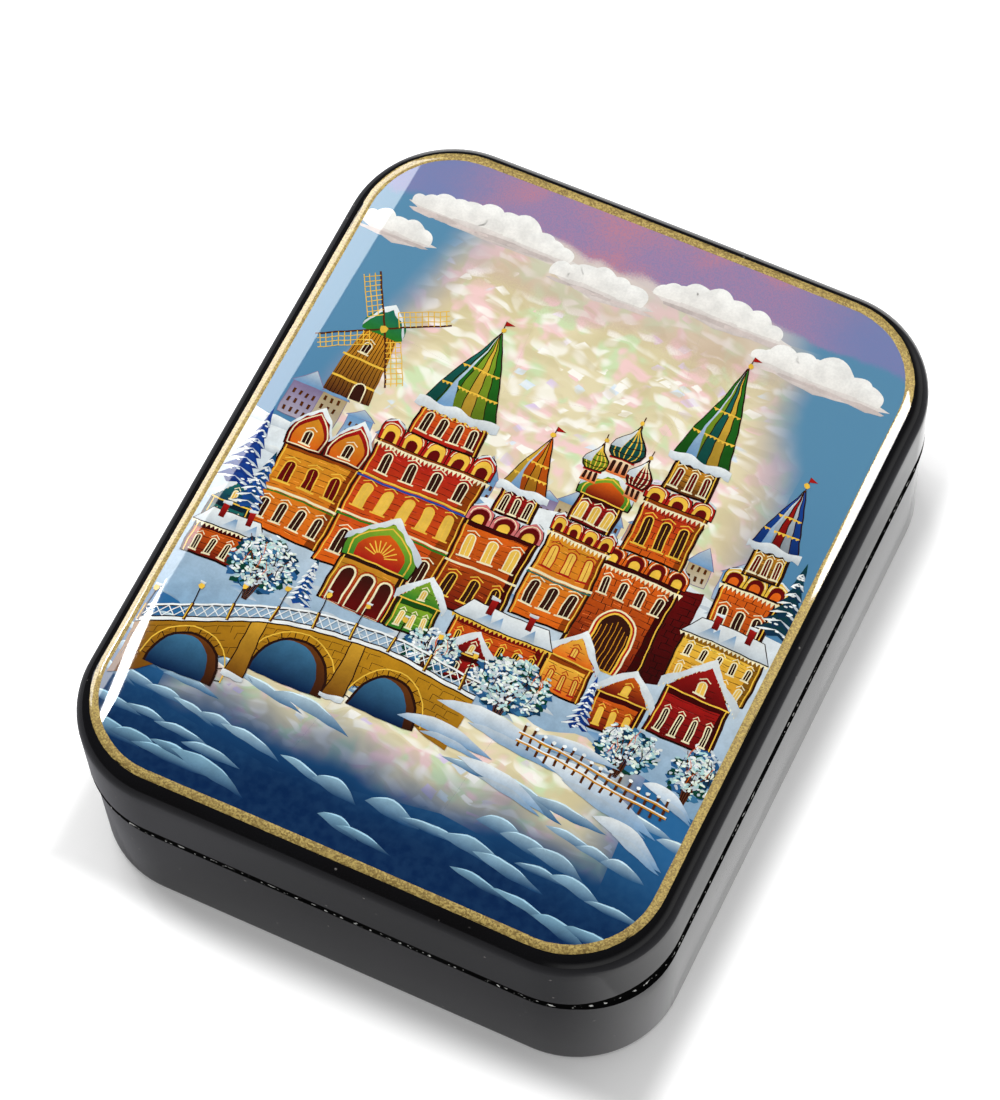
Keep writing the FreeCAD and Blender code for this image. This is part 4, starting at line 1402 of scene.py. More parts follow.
def arcade(paint, left, right, y, count, high, colours):
    """A row of round gables, each with a nest of coloured arcs."""
    wide = (right - left) / count
    for place in range(count):
        x = left + wide * (place + 0.5)
        for ring, colour in enumerate(colours):
            share = 1 - ring / (len(colours) + 0.6)
            paint.fill(arch(x, y, wide * share, high * share), colour)
        paint.ring(arch(x, y, wide, high), 0.14, DARK_LINE)
        paint.stroke(arch(x, y, wide * 0.8, high * 0.8)[2:], 0.13, CREAM)
        back = [(x - 0.42 * wide, y + 0.75 * high), (x, y + high), (x + 0.42 * wide, y + 0.75 * high)]
        snow_cap(paint, back, 0.25, 0.05)


tower = Paint("painted_tower", 15)
TOWER_X = 17.5
TOWER_SIDE_FOOT = (0.05, 0.004, 0.004)
TOWER_SIDE_LINE = (0.02, 0.004, 0.003)
wall(tower, TOWER_X - 5.2, TOWER_X + 5.2, -12, 2, ORANGE, DEEP_RED, bricks=1.3)
side = [(TOWER_X + 5.2, -12), (TOWER_X + 8.0, -11), (TOWER_X + 8.0, 2.6), (TOWER_X + 5.2, 2)]
tower.fill(side, DEEP_RED, TOWER_SIDE_FOOT)
courses(tower, TOWER_X + 5.2, TOWER_X + 8.0, -11, 2, COURSE_GAP, TOWER_SIDE_LINE, 1.2)
tower.fill(arch(TOWER_X, -12, 4.4, 7.6, 12), PANE)
for wide, colour in ((5.4, CREAM), (4.9, RED), (4.4, YELLOW)):
    tower.ring(arch(TOWER_X, -12, wide, 7.6 + (wide - 4.4) / 2, 12), 0.26, colour)
for bar in np.arange(-1.8, 2.0, 0.6):
    tower.stroke([(TOWER_X + bar, -12), (TOWER_X + bar, -5.4 - abs(bar) * 0.6)], 0.1, OCHRE)
windows(tower, TOWER_X - 4.8, TOWER_X + 4.8, -2.6, 4, 1.0, 2.4, CREAM, PANE)
fringe(tower, (TOWER_X - 5.6, 1.2), (TOWER_X + 5.6, 1.2), 0.7, CREAM)
arcade(tower, TOWER_X - 5.6, TOWER_X + 5.6, 1.8, 4, 2.7, (ORANGE, DEEP_RED, YELLOW))
wall(tower, TOWER_X - 4.1, TOWER_X + 4.1, 4.0, 12, RED, ORANGE, bricks=1.1)
windows(tower, TOWER_X - 3.6, TOWER_X + 3.6, 5.4, 3, 1.3, 4.2, YELLOW, PANE)
fringe(tower, (TOWER_X - 4.5, 11.2), (TOWER_X + 4.5, 11.2), 0.7, CREAM)
arcade(tower, TOWER_X - 4.5, TOWER_X + 4.5, 11.8, 3, 2.5, (RED, YELLOW, DEEP_RED))
wall(tower, TOWER_X - 3.0, TOWER_X + 3.0, 14.0, 18.6, OCHRE, BROWN)
windows(tower, TOWER_X - 2.8, TOWER_X + 2.8, 14.6, 3, 0.9, 2.8, CREAM, DEEP_RED)
tent(tower, TOWER_X, 18.4, 8.0, 15.0, (GREEN, LEAF_GREEN, TEAL, YELLOW, GREEN), 1.0)
tower.dry()


# The storeyed house. A slim tower house between the hall and the gate, with three ribbed cupolas,
# and beyond the gate a watch tower under a striped tent.

ONION = ((0.62, 0), (0.90, 0.12), (1.0, 0.28), (0.88, 0.45), (0.58, 0.60), (0.28, 0.74), (0.10, 0.88),
         (0.03, 1.0))
ONION_SHADE = 0.35


def onion(x, y, half, high, share=1.0, rows=ONION):
    """One side of the onion's outline, or a line at some share of its width."""
    return [(x + share * wide * half, y + level * high) for wide, level in rows]


def cupola(paint, x, y, wide, high, colour, stripe, drum=2.4):
    """An onion roof on its drum, with painted ribs, snow on one shoulder and a gilt ball."""
    half = wide / 2
    paint.fill(block(x - 0.6 * half, x + 0.6 * half, y - drum, y), CREAM, ORANGE)
    for share in (-0.4, 0, 0.4):
        paint.fill(arch(x + share * half, y - drum + 0.3, 0.24 * half, drum * 0.7), PANE)
    paint.stroke([(x - 0.75 * half, y - 0.1), (x + 0.75 * half, y - 0.1)], 0.3, RED)
    whole = onion(x, y, half, high) + onion(x, y, half, high, -1)[::-1]
    paint.fill(whole, colour, toned(colour, ONION_SHADE))
    for rib in (-0.72, -0.36, 0, 0.36, 0.72):
        paint.stroke(onion(x, y, half, high, rib), 0.17, stripe, 0.5)
    for level in (0.2, 0.4, 0.6):
        span = np.interp(level, [s for w, s in ONION], [w for w, s in ONION]) * half
        hoop = [(x - span, y + level * high), (x, y + (level - 0.07) * high), (x + span, y + level * high)]
        paint.stroke(hoop, 0.12, DARK_LINE)
    paint.ring(whole, 0.2, DARK_LINE)
    shoulder = ONION[2:7]
    snow = onion(x, y, half, high, -1, shoulder) + onion(x, y, half, high, -0.35, shoulder[::-1])
    paint.fill(snow, SNOW, SNOW_GREY)
    paint.stroke([(x, y + high - 0.2), (x, y + high + 1.5)], 0.14, BROWN)
    paint.dab(x, y + high + 0.5, 0.34, 0.34, YELLOW)


def barrel_gable(paint, outer, inner, line, boards, lines, widths=(0.22, 0.18)):
    """Two keel-shaped boards, one on the other, outlined and with a painted line between."""
    for shape, colours in zip((outer, inner), boards):
        paint.fill(keel(*shape), *colours)
    for shape, width, colour in zip((outer, line), widths, lines):
        paint.ring(keel(*shape), width, colour)


storeyed = Paint("painted_storeyed_house", 22)
wall(storeyed, 27.0, 34.5, -8, 5.5, ORANGE, DEEP_RED, bricks=1.2)
windows(storeyed, 27.3, 34.2, -1.2, 3, 1.2, 3.4, CREAM, PANE)
fringe(storeyed, (26.6, 4.9), (34.9, 4.9), 0.7, CREAM)
arcade(storeyed, 26.7, 34.8, 5.2, 3, 2.6, (YELLOW, DEEP_RED, ORANGE))
wall(storeyed, 28.4, 33.1, 7.2, 11.6, OCHRE, BROWN)
windows(storeyed, 28.6, 32.9, 7.8, 3, 0.8, 2.6, CREAM, DEEP_RED)
tent(storeyed, 30.75, 11.4, 6.6, 9.5, (BLUE_PAINT, SNOW_GREY, RED, SNOW_GREY, BLUE_PAINT), 0.9)
wall(storeyed, 4.6, 12.6, -9.5, 3.0, OCHRE, ORANGE)
windows(storeyed, 4.9, 12.3, -7.6, 3, 1.3, 3.4, CREAM, PANE)
windows(storeyed, 4.9, 12.3, -2.2, 3, 1.2, 3.2, RED, LIT_PANE)
storeyed.stroke([(4.4, -3.2), (12.8, -3.2)], 0.34, CREAM)
storeyed.stroke([(4.4, -3.6), (12.8, -3.6)], 0.22, TEAL)
fringe(storeyed, (4.2, 2.4), (13.0, 2.4), 0.7, CREAM)
arcade(storeyed, 4.3, 12.9, 2.8, 4, 2.5, (RED, YELLOW, DEEP_RED))
wall(storeyed, 5.8, 11.4, 4.9, 9.0, RED, DEEP_RED)
windows(storeyed, 6.0, 11.2, 5.5, 3, 1.0, 2.4, CREAM, LIT_PANE)
barrel_gable(storeyed, (8.6, 8.8, 7.0, 3.8), (8.6, 9.0, 4.8, 2.6), (8.6, 8.9, 5.8, 3.2),
             ((LEAF_GREEN, GREEN), (ORANGE, DEEP_RED)), (DARK_LINE, YELLOW))
snow_cap(storeyed, [(4.9, 10.2), (6.5, 11.6), (8.6, 12.8), (10.7, 11.6), (12.3, 10.2)], 0.5, 0.3)
cupola(storeyed, 5.6, 12.4, 3.4, 4.0, LEAF_GREEN, YELLOW, 1.8)
cupola(storeyed, 11.6, 12.4, 3.4, 4.0, RED, CREAM, 1.8)
cupola(storeyed, 8.6, 15.2, 4.4, 5.2, TEAL, YELLOW, 2.4)
storeyed.dry()


# The timber hall. A painted great house in red and ochre, its parts roofed with tents and barrel
# gables, with a porch of three arches in front.

hall = Paint("painted_hall", 16)
wall(hall, -31, -20.5, -12, 0.5, OCHRE, ORANGE)
windows(hall, -30.6, -20.9, -10.6, 4, 1.15, 2.9, CREAM, PANE)
windows(hall, -30.6, -20.9, -5.0, 3, 1.5, 3.2, YELLOW, DEEP_RED)
hall.stroke([(-31.2, -6.3), (-20.3, -6.3)], 0.32, CREAM)
hall.stroke([(-31.2, -6.7), (-20.3, -6.7)], 0.18, GREEN)
for x, wide in ((-28.6, 5.2), (-23.2, 5.2)):
    barrel_gable(hall, (x, 0.2, wide, 6.0), (x, 0.6, wide * 0.72, 4.2), (x, 0.5, wide * 0.86, 5.1),
                 ((RED, DEEP_RED), (OCHRE, ORANGE)), (DARK_LINE, CREAM))
    window(hall, x, 1.0, 1.1, 2.0, CREAM, PANE)
    side, flank = wide * 0.56, wide * 0.3
    back = [(x - side, 2.6), (x - flank, 4.9), (x, 6.3), (x + flank, 4.9), (x + side, 2.6)]
    snow_cap(hall, back, 0.5, 0.3)
wall(hall, -20.5, -5.5, -13, 5.5, RED, ORANGE)
windows(hall, -20.0, -6.0, -11.2, 5, 1.4, 3.6, CREAM, PANE)
windows(hall, -20.0, -6.0, -4.2, 5, 1.3, 3.4, YELLOW, LIT_PANE)
windows(hall, -20.0, -6.0, 1.2, 4, 1.3, 2.8, CREAM, PANE)
for level, colour in ((-5.5, CREAM), (-5.9, GREEN), (0.3, YELLOW), (-0.1, BLUE_PAINT)):
    hall.stroke([(-20.8, level), (-5.2, level)], 0.28, colour)
fringe(hall, (-21, 5.0), (-5, 5.0), 0.7, CREAM)
arcade(hall, -20.8, -5.2, 5.4, 5, 3.3, (RED, YELLOW, DEEP_RED))
wall(hall, -17.6, -8.4, 7.8, 12.4, ORANGE, RED)
windows(hall, -17.2, -8.8, 8.6, 4, 1.1, 2.8, CREAM, PANE)
fringe(hall, (-18, 12.0), (-8, 12.0), 0.6, YELLOW)
tent(hall, -13.0, 12.2, 11.0, 13.0, (TEAL, GREEN, LEAF_GREEN, YELLOW, LEAF_GREEN, GREEN), 1.1)
wall(hall, -5.5, 4.0, -12.5, 0.0, ORANGE, DEEP_RED)
windows(hall, -5.2, 3.7, -11.0, 3, 1.3, 3.4, YELLOW, PANE)
windows(hall, -5.2, 3.7, -5.0, 3, 1.3, 3.2, CREAM, LIT_PANE)
hall.stroke([(-5.7, -6.2), (4.2, -6.2)], 0.3, CREAM)
arcade(hall, -5.7, 4.2, -0.2, 3, 2.8, (ROSE, DEEP_RED, YELLOW))
wall(hall, -3.4, 1.8, 2.2, 6.0, RED, DEEP_RED)
windows(hall, -3.2, 1.6, 2.6, 3, 0.8, 2.4, CREAM, PANE)
tent(hall, -0.8, 5.8, 6.6, 8.4, (YELLOW, ORANGE, OCHRE, ORANGE), 0.8)
wall(hall, -17.5, -8.5, -17.5, -10.5, OCHRE, BROWN)
for x in (-15.6, -13.0, -10.4):
    hall.fill(arch(x, -17.5, 1.9, 5.2), PANE, DEEP_RED)
    hall.ring(arch(x, -17.5, 1.9, 5.2), 0.26, CREAM)
    hall.ring(arch(x, -17.5, 2.4, 5.5), 0.14, RED)
barrel_gable(hall, (-13.0, -10.9, 9.4, 6.2), (-13.0, -10.6, 6.4, 4.2), (-13.0, -10.7, 7.8, 5.2),
             ((LEAF_GREEN, GREEN), (ORANGE, RED)), (DARK_LINE, YELLOW), (0.24, 0.2))


def rays(paint, x, y, near, far, start, count, width, colour):
    """Short strokes between two arcs, from the same start on either side. near and far give each
    arc's half width and half height."""
    inner, outer = [arc(x, y, *reach, start, math.pi - start, count) for reach in (near, far)]
    for pair in zip(inner, outer):
        paint.stroke(pair, width, colour)


rays(hall, -13, -9.8, (0.7, 0.7), (2.4, 2.4), math.pi / 10, 9, 0.16, YELLOW)
snow_cap(hall, [(-18.2, -8.6), (-15.8, -6.3), (-13.0, -4.4), (-10.2, -6.3), (-7.8, -8.6)], 0.7, 0.35)
hall.dry()


# The street. Log and plaster houses in bright washes on both sides of the tower, with cream, yellow
# or red round every window and thick snow on each roof.


def gabled_house(paint, x, y, wide, high, rise, top, foot, frame, count, rows=1):
    """A log house seen from its gable end, snow on both slopes and a carved fringe under them."""
    left, right = x - wide / 2, x + wide / 2
    wall(paint, left, right, y, y + high, top, foot)
    eave = wide * 0.12
    peak = (x, y + high + rise)
    paint.fill([(left, y + high), (right, y + high), peak], top, foot)
    courses(paint, x - wide / 5, x + wide / 5, y + high, y + high + rise * 0.5, 0.8, DARK_LINE)
    window(paint, x, y + high + rise * 0.14, wide * 0.13, rise * 0.36, frame, LIT_PANE)
    step = (high - 0.6) / rows
    for row in range(rows):
        pane = (PANE, LIT_PANE)[(row + count) % 2]
        windows(paint, left + 0.5, right - 0.5, y + 0.7 + row * step, count, wide / count * 0.32, step * 0.52,
                frame, pane)
    fringe(paint, (left - eave, y + high - 0.3), peak, 0.5, frame)
    fringe(paint, peak, (right + eave, y + high - 0.3), 0.5, frame)
    paint.stroke([(left, y + high), (right, y + high)], 0.2, YELLOW)
    snow_cap(paint, [(left - eave, y + high - 0.1), peak, (right + eave, y + high - 0.1)], 0.95)


def long_house(paint, left, right, y, high, roof, top, foot, frame, count, rows=1, bricks=0.0):
    """A long house seen from its eaves, with a snowy roof, blue in its hollows, and chimneys."""
    wall(paint, left, right, y, y + high, top, foot, bricks=bricks)
    step = (high - 0.6) / rows
    broad = min((right - left) / count * 0.34, 1.2)
    for row in range(rows):
        pane = (PANE, LIT_PANE)[(row + count) % 2]
        windows(paint, left + 0.4, right - 0.4, y + 0.6 + row * step, count, broad, step * 0.56, frame, pane)
    base = y + high
    slope = block(left - 0.6, right + 0.6, base, base + roof, 1.5)
    paint.fill(slope, SNOW, SNOW_GREY)
    for place in range(3):
        a = left + (right - left) * paint.hand.uniform(0.05, 0.75)
        hollow = [(a, base + 0.2), (a + 1.9, base + 0.25), (a + 1.5, base + roof * 0.75)]
        paint.fill(hollow, SNOW_BLUE, SNOW_GREY)
    paint.stroke([(left - 0.6, base), (right + 0.6, base)], 0.2, DARK_LINE)
    fringe(paint, (left - 0.6, base - 0.1), (right + 0.6, base - 0.1), 0.5, frame)
    paint.ring(slope, 0.13, DARK_LINE)
    for share in (0.28, 0.72):
        x = left + (right - left) * share
        paint.fill(block(x - 0.4, x + 0.4, base + roof * 0.6, base + roof + 1.1), RED, DEEP_RED)
        snow_cap(paint, [(x - 0.6, base + roof + 1.1), (x + 0.6, base + roof + 1.1)], 0.4, 0.1)


street = Paint("painted_street", 17)
gabled_house(street, -5.6, -17.6, 5.6, 4.4, 3.6, LEAF_GREEN, GREEN, CREAM, 3)
gabled_house(street, 14.6, -17.4, 6.2, 4.8, 3.8, YELLOW, ORANGE, RED, 3)
long_house(street, -0.8, 11.4, -17.2, 4.6, 2.6, ORANGE, RED, YELLOW, 6)
gabled_house(street, 3.0, -20.6, 5.0, 3.6, 3.0, RED, DEEP_RED, CREAM, 2)
long_house(street, 25.5, 36.0, -9.5, 6.5, 2.6, YELLOW, OCHRE, CREAM, 5, 2)
gabled_house(street, -33.2, -14.6, 5.6, 4.4, 3.6, TEAL, (0.01, 0.06, 0.10), CREAM, 3)
gabled_house(street, 30.6, -17.0, 8.6, 6.4, 4.8, RED, DEEP_RED, CREAM, 4, 1)
gabled_house(street, 22.4, -19.6, 6.4, 5.0, 3.8, ORANGE, DEEP_RED, YELLOW, 3, 1)
long_house(street, -36.0, -27.5, -18.5, 4.6, 2.4, ORANGE, DEEP_RED, CREAM, 4, 1)
street.dry()


# Trees. Firs in dark green and blue under snow, and birches and bushes white with hoar frost, put
# in with the tip of a nearly dry brush.

trees = Paint("painted_trees", 18)


FIR_TIERS = 7


def fir(x, y, wide, high, colour, shade):
    """A fir in tiers of drooping boughs, each with snow on it."""
    hand = trees.hand
    for tier in range(FIR_TIERS):
        share = tier / FIR_TIERS
        half = wide / 2 * (1 - share) + 0.25
        level = y + high * share
        lobes = [(x - half, level), (x - half * 0.55, level + 0.35), (x - half * 0.25, level - 0.25),
                 (x + half * 0.2, level + 0.25), (x + half * 0.6, level - 0.2), (x + half, level + 0.1),
                 (x, level + high / FIR_TIERS * 1.9)]
        trees.fill(lobes, colour, shade)
        for side in (-1, 1):
            bough = [(x, level + 0.9), (x + side * half * 0.55, level + 0.45),
                     (x + side * half * 0.95, level + 0.1)]
            trees.stroke(bough, 0.34, SNOW if side < 0 else SNOW_GREY, 0.8)
        for _ in range(3):
            trees.dab(x + hand.uniform(-0.6, 0.6) * half, level + hand.uniform(0.1, 0.9), 0.3, 0.14, SNOW)


FROST_UNDER = (SNOW_DEEP, (0.01, 0.05, 0.10), (0.06, 0.20, 0.34), FIR_GREEN)
FROST_OVER = (SNOW, (0.72, 0.80, 0.70), SNOW_GREY, (0.42, 0.62, 0.62))


def frosted(x, y, wide, high, count):
    """A bare tree in hoar frost: dark under, then blue, then white dabs, then a few live twigs."""
    hand = trees.hand
    spots = []
    for _ in range(count):
        turn = hand.uniform(0, 2 * math.pi)
        reach = hand.random() ** 0.5
        out, up = reach * math.cos(turn), reach * math.sin(turn)
        spots.append((x + wide / 2 * out, y + high * 0.62 + high * 0.42 * up))
    for place, (sx, sy) in enumerate(spots):
        trees.dab(sx, sy - 0.3, 0.95, 0.5, FROST_UNDER[place % 4], hand.uniform(-0.6, 0.6))
    for bough in range(7):
        lean = (bough - 3) / 3
        top = (x + lean * wide * 0.42, y + high * hand.uniform(0.75, 1.0))
        bend = (x + lean * wide * 0.12, y + high * 0.45)
        trees.stroke([(x + lean * 0.3, y), bend, top], 0.22, DARK_LINE if bough % 2 else BROWN, 0.6)
    for place, (sx, sy) in enumerate(spots + spots[::2]):
        shift_x, shift_y = hand.uniform(-0.7, 0.7), hand.uniform(-0.3, 0.7)
        broad, tall = hand.uniform(0.22, 0.48), hand.uniform(0.12, 0.24)
        turn = hand.uniform(-0.9, 0.9)
        trees.dab(sx + shift_x, sy + shift_y, broad, tall, FROST_OVER[place % 4], turn)
    for twig in range(10):
        sx = x + hand.uniform(-0.4, 0.4) * wide
        sy = y + high * hand.uniform(0.35, 0.8)
        bent, tip = hand.uniform(-0.3, 0.3), hand.uniform(-0.6, 0.6)
        trees.stroke([(sx, sy), (sx + bent, sy + 0.9), (sx + tip, sy + 1.9)], 0.13,
                     DARK_LINE if twig % 3 else ORANGE, 0.7)


FIR_NIGHT, FIR_DUSK = (0.01, 0.04, 0.20), (0.01, 0.04, 0.10)
for x, y, wide, high, colour, shade in ((-34.4, -7.5, 5.0, 10.0, BLUE_PAINT, FIR_NIGHT),
                                        (-31.4, -10.0, 4.0, 7.6, FIR_GREEN, BLUE_PAINT),
                                        (35.4, 1.0, 4.6, 9.5, FIR_GREEN, FIR_DUSK),
                                        (-19.5, -19.5, 3.2, 6.0, FIR_GREEN, BLUE_PAINT),
                                        (18.6, -20.4, 3.0, 6.6, BLUE_PAINT, FIR_NIGHT)):
    fir(x, y, wide, high, colour, shade)
for x, y, wide, high, count in ((-25.6, -21.5, 8.0, 8.6, 190), (9.4, -23.6, 9.4, 8.2, 240),
                                (-1.6, -21.8, 6.4, 6.0, 130), (25.6, -24.2, 7.2, 6.4, 150),
                                (34.6, -24.6, 5.4, 8.0, 120)):
    frosted(x, y, wide, high, count)
trees.dry()


# The bridge. Ochre brick on three arches over the frozen river, with a parapet of crossed bars,
# lamps along it and snow on every ledge.

bridge = Paint("painted_bridge", 19)
BRIDGE_LEFT, BRIDGE_RIGHT = -36.4, 6.0
BRIDGE_BRICK, BRIDGE_FOOT = (0.52, 0.28, 0.02), (0.17, 0.065, 0.008)
PIER_BRICK = (0.58, 0.34, 0.04)
VAULT, VAULT_FOOT = (0.16, 0.055, 0.012), (0.05, 0.015, 0.006)
BEYOND_ARCH = (0.07, 0.20, 0.32)


def deck(x):
    """The height of the bridge's roadway along its length."""
    share = (x - BRIDGE_LEFT) / (BRIDGE_RIGHT - BRIDGE_LEFT)
    return -29.5 + 7.5 * share + 4.2 * math.sin(math.pi * share)


run = np.linspace(BRIDGE_LEFT, BRIDGE_RIGHT, 43)
side = [(x, deck(x)) for x in run] + [(x, deck(x) - 6.6 - 1.2 * math.sin(0.3 * x)) for x in run[::-1]]
bridge.fill(side, BRIDGE_BRICK, BRIDGE_FOOT, vary=0)
for course in range(1, 6):
    for x in np.arange(BRIDGE_LEFT + 0.3, BRIDGE_RIGHT - 1.5, 1.7):
        start = x + (course % 2) * 0.85
        if bridge.hand.random() < 0.8:
            level = deck(start) - 1.05 * course
            for end in ((start + 1.5, deck(start + 1.5) - 1.05 * course), (start, level - 0.9)):
                bridge.stroke([(start, level), end], 0.11, DARK_LINE, 0.4)
for middle, half in ((-28.5, 4.6), (-16.0, 5.0), (-3.4, 4.4)):
    foot = deck(middle) - 8.2
    rise = 2 * half * 0.52 + 1.0
    opening = arc(middle, foot, half, rise, 0, math.pi, 17)
    bridge.fill(opening, VAULT, VAULT_FOOT, 0)
    beyond = arc(middle - 0.6, foot, half - 0.65, rise - 0.45, 0, math.pi, 17)
    bridge.fill(beyond, BEYOND_ARCH, ICE_DEEP[:3], 0)
    bridge.stroke(opening, 0.34, DARK_LINE)
    rays(bridge, middle, foot, (half, rise), (half + 0.9, rise + 0.9), 0.15, 11, 0.12, DARK_LINE)
    bridge.stroke(arc(middle, foot, half + 0.95, rise + 0.95, 0.12, math.pi - 0.12, 17), 0.16, YELLOW)
for x in (-22.2, -9.8):
    level = deck(x)
    pier = block(x - 1.3, x + 1.3, level - 8.5, level, 0.4)
    bridge.fill(pier, PIER_BRICK, BRIDGE_FOOT)
    bridge.ring(pier, 0.16, DARK_LINE)
    snow_cap(bridge, [(x - 1.5, level - 8.4), (x + 1.5, level - 8.4)], 0.6, 0.2)
for rise, width, colour in ((0, 0.5, SNOW), (-0.35, 0.18, DARK_LINE), (0.3, 0.16, DARK_LINE),
                            (2.1, 0.26, SNOW), (1.9, 0.12, DARK_LINE)):
    bridge.stroke([(x, deck(x) + rise) for x in run], width, colour)
for x in np.arange(BRIDGE_LEFT + 0.2, BRIDGE_RIGHT - 1.4, 1.25):
    for rise, fall in ((0.4, 1.9), (1.9, 0.4)):
        bridge.stroke([(x, deck(x) + rise), (x + 1.25, deck(x + 1.25) + fall)], 0.13, SNOW)
for x in np.arange(BRIDGE_LEFT + 0.2, BRIDGE_RIGHT, 5.0):
    level = deck(x)
    bridge.stroke([(x, level - 0.1), (x, level + 2.3)], 0.42, BROWN)
    bridge.stroke([(x - 0.1, level), (x - 0.1, level + 2.2)], 0.14, YELLOW)
    bridge.stroke([(x, level + 2.2), (x, level + 4.6)], 0.14, DARK_LINE)
    bridge.dab(x, level + 4.9, 0.42, 0.5, YELLOW)
    snow_cap(bridge, [(x - 0.4, level + 5.3), (x + 0.4, level + 5.3)], 0.3, 0.05)
bridge.dry()


# Bank and fence. The near bank of the river, banked up in broad drifts, with a paling fence half
# buried in the snow.

banks = Paint("painted_banks", 21)
BROAD_DRIFTS = (
    (12, -25.2, 20, 2.2, -0.12), (25, -27.8, 18, 2.4, -0.22), (5, -28.0, 13, 1.6, -0.05),
    (33.0, -24.6, 8, 1.4, -0.3), (20, -23.4, 12, 1.3, 0.05), (31, -31.5, 11, 1.8, -0.3),
    (14.0, -31.0, 13, 1.6, -0.2),
)
FENCE_LEVEL, FENCE_START, FENCE_FALL = -24.6, 13, 0.10
for x, y, length, belly, turn in BROAD_DRIFTS:
    leaf(banks, x, y, length, belly, turn, SNOW, SNOW_BLUE)
    leaf(banks, x + 1.5, y - 0.9, length * 0.7, belly * 0.5, turn, SNOW_GREY, SNOW_BLUE)
for x in np.arange(13.5, 33.5, 1.3):
    y = FENCE_LEVEL - FENCE_FALL * (x - FENCE_START) + 0.3 * math.sin(x)
    banks.stroke([(x, y - 1.0), (x + 0.05, y + 1.9)], 0.34, BROWN)
    banks.dab(x + 0.05, y + 2.05, 0.32, 0.26, SNOW)
run = np.linspace(FENCE_START, 33.6, 12)
for level in (-0.1, 1.0):
    for lift, width, colour in ((0, 0.22, OCHRE), (0.18, 0.16, SNOW)):
        start = FENCE_LEVEL + lift
        banks.stroke([(x, start - FENCE_FALL * (x - FENCE_START) + level) for x in run], width, colour)
banks.dry()


# Studio. A pale floor that shows white to the camera and keeps the box's shadow, a large soft box
# and a narrow window on the left, a glint card on the right, a fill lamp overhead and the camera.
# Close to the box the floor glows less to the camera, a painted shadow round its foot. What the gloss
# mirrors of the floor and of the air is set apart from what the camera sees, as painted reflections.

FLOOR_HALF = 3.0
FLOOR_ROUGHNESS = 0.9
FLOOR_COLOUR = (0.86, 0.86, 0.86, 1)
FLOOR_MIRRORED = (0.16, 0.16, 0.18, 1)
FLOOR_GLOW = (0.15, 0.80)
PAINTED_SHADOW_REACH = (0.2 * MM, 6.5 * MM)
MIRRORED_FAR = (50 * MM, 60 * MM)
MIRRORED_GLOW = (0.42, 0.14)
MIRRORED_EDGE = (42.6 * MM, 44.2 * MM)
DIM_TURN = 0.8
DIM_EDGE = (25 * MM, -22 * MM)
WHITE = (1, 1, 1, 1)

bm = bmesh.new()
bmesh.ops.create_grid(bm, x_segments=8, y_segments=8, size=FLOOR_HALF)
floor = piece_from("floor", bm)
floor_paper, tree, shader = new_material("floor_paper")
shader.inputs["Roughness"].default_value = FLOOR_ROUGHNESS
shader.inputs["Specular IOR Level"].default_value = 0.0
shader.inputs["Emission Color"].default_value = WHITE
path = node(tree, "ShaderNodeLightPath").outputs
seen = larger(tree, path["Is Camera Ray"], path["Is Transmission Ray"])
place = split_up(tree, own_place(tree))
# Painted reflection: as the gloss sees it, the floor glows beside the right wall and is darker in front, to
# the left and farther out to the right.
sideways = plus(tree, place["X"], times(tree, place["Y"], DIM_TURN))
dim = fade(tree, sideways, *DIM_EDGE)
near_wall = fade(tree, place["X"], *MIRRORED_EDGE, MIRRORED_GLOW[0], 0.0)
bright = larger(tree, near_wall, MIRRORED_GLOW[1])
bright = fade(tree, dim, 0.0, 1.0, bright, MIRRORED_GLOW[1])
mirrored = times(tree, path["Is Glossy Ray"], bright)
# The glow to the camera is weaker close to the box: a painted shadow round its foot.
beside = minus(tree, maths(tree, "ABSOLUTE", place["X"]), HALF_WIDTH)
before = minus(tree, maths(tree, "ABSOLUTE", place["Y"]), HALF_LENGTH)
away = larger(tree, beside, before)
lifted = times(tree, seen, fade(tree, away, *PAINTED_SHADOW_REACH, *FLOOR_GLOW))
tree.links.new(plus(tree, lifted, mirrored), shader.inputs["Emission Strength"])
dark_side = larger(tree, dim, fade(tree, place["X"], *MIRRORED_FAR))
dimmed = times(tree, dark_side, path["Is Glossy Ray"])
tree.links.new(mix(tree, dimmed, FLOOR_COLOUR, FLOOR_MIRRORED), shader.inputs["Base Color"])
floor.data.materials.append(floor_paper)
floor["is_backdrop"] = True

# Painted reflection: the air shows much dimmer in the gloss than the light it gives, with a pale band low
# down towards the right.
WORLD_GREY = 0.42
WORLD_MIRRORED = 0.06
HORIZON_WHITE = 0.95
MIRRORED_HORIZON = 0.60
HORIZON_HEIGHT = (0.55, 0.20)
HORIZON_SIDE = (0.0, 0.5)
world = bpy.data.worlds.new("studio_air")
bpy.context.scene.world = world
world.use_nodes = True
tree = world.node_tree
path = node(tree, "ShaderNodeLightPath").outputs
towards = split_up(tree, node(tree, "ShaderNodeTexCoord").outputs["Generated"])
horizon = fade(tree, towards["Z"], *HORIZON_HEIGHT, 0.0, MIRRORED_HORIZON)
horizon = times(tree, horizon, fade(tree, towards["X"], *HORIZON_SIDE))
mirrored = larger(tree, path["Is Glossy Ray"], path["Is Transmission Ray"])
white = larger(tree, path["Is Camera Ray"], times(tree, mirrored, horizon))
unseen = fade(tree, path["Is Glossy Ray"], 0.0, 1.0, WORLD_GREY, WORLD_MIRRORED)
strength = node(tree, "ShaderNodeMix", {0: white, 2: unseen, 3: HORIZON_WHITE}, data_type="FLOAT").outputs[0]
backdrop = tree.nodes["Background"]
backdrop.inputs["Color"].default_value = WHITE
tree.links.new(strength, backdrop.inputs["Strength"])

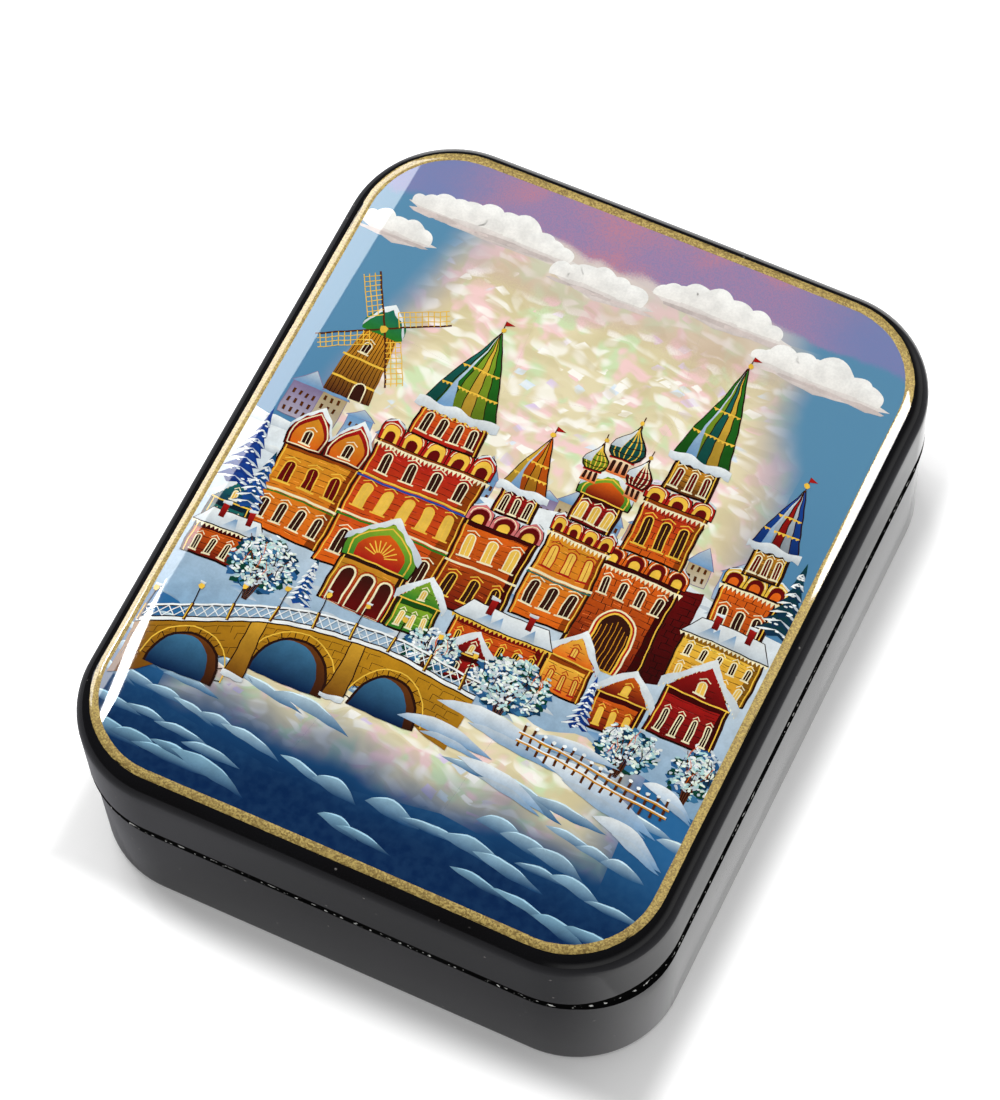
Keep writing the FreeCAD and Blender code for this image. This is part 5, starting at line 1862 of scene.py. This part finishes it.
BOX_MIDDLE = (0, 0, 0)
SOFT_BOX = {"place": (-0.616, 0.379, 0.620), "size": (0.60, 0.34), "power": 5.4}
WINDOW = {"place": (-0.440, 0.232, 0.664), "size": (0.022, 0.10), "power": 0.42}
GLINT_CARD = {"place": (0.165, 0.305, 0.54), "aim": (0.0375, 0.02, 0.03), "size": (0.38, 0.10), "power": 2.2,
              "turn": math.radians(27)}
FILL = {"place": (0.12, 0.30, 0.85), "size": (0.70, 0.70), "power": 2.9}


def soft_box(name, place, size, power, aim=BOX_MIDDLE, turn=0.0):
    """A rectangular lamp that faces a point, turned about its own axis."""
    lamp = bpy.data.lights.new(name, "AREA")
    lamp.shape = "RECTANGLE"
    lamp.size, lamp.size_y = size
    lamp.energy = power
    holder = bpy.data.objects.new(name, lamp)
    holder.location = place
    holder.rotation_mode = "QUATERNION"
    faced = (Vector(aim) - Vector(place)).to_track_quat("-Z", "Y")
    holder.rotation_quaternion = faced @ Quaternion((0, 0, 1), turn)
    bpy.context.scene.collection.objects.link(holder)
    return holder


soft_box("left_soft_box", **SOFT_BOX)
soft_box("left_window", **WINDOW)
glint_card = soft_box("right_glint_card", **GLINT_CARD)
glint_card.data.shape = "ELLIPSE"
glint_card.visible_diffuse = False
fill_lamp = soft_box("overhead_fill", **FILL)
fill_lamp.visible_glossy = False

CAMERA_AZIMUTH = math.radians(29.925)
CAMERA_HEIGHT = math.radians(63.927)
CAMERA_ROLL = math.radians(-4.724)
CAMERA_DISTANCE = 0.55623
CAMERA_LENS = 140.10
CAMERA_SHIFT = (-0.01549, 0.08655)
CAMERA_NEAR = 0.01
right = Vector((math.cos(CAMERA_AZIMUTH), math.sin(CAMERA_AZIMUTH), 0))
level = math.cos(CAMERA_HEIGHT)
back = Vector((right.y * level, -right.x * level, math.sin(CAMERA_HEIGHT)))
up = back.cross(right)
camera_data = bpy.data.cameras.new("camera")
camera_data.lens = CAMERA_LENS
camera_data.shift_x, camera_data.shift_y = CAMERA_SHIFT
camera_data.clip_start = CAMERA_NEAR
camera = bpy.data.objects.new("camera", camera_data)
rolled_right = right * math.cos(CAMERA_ROLL) + up * math.sin(CAMERA_ROLL)
rolled_up = up * math.cos(CAMERA_ROLL) - right * math.sin(CAMERA_ROLL)
turned = Matrix((rolled_right, rolled_up, back)).transposed().to_4x4()
camera.matrix_world = Matrix.Translation(back * CAMERA_DISTANCE) @ turned
bpy.context.scene.collection.objects.link(camera)
bpy.context.scene.camera = camera
bpy.context.scene.view_settings.view_transform = "Standard"

low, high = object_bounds()
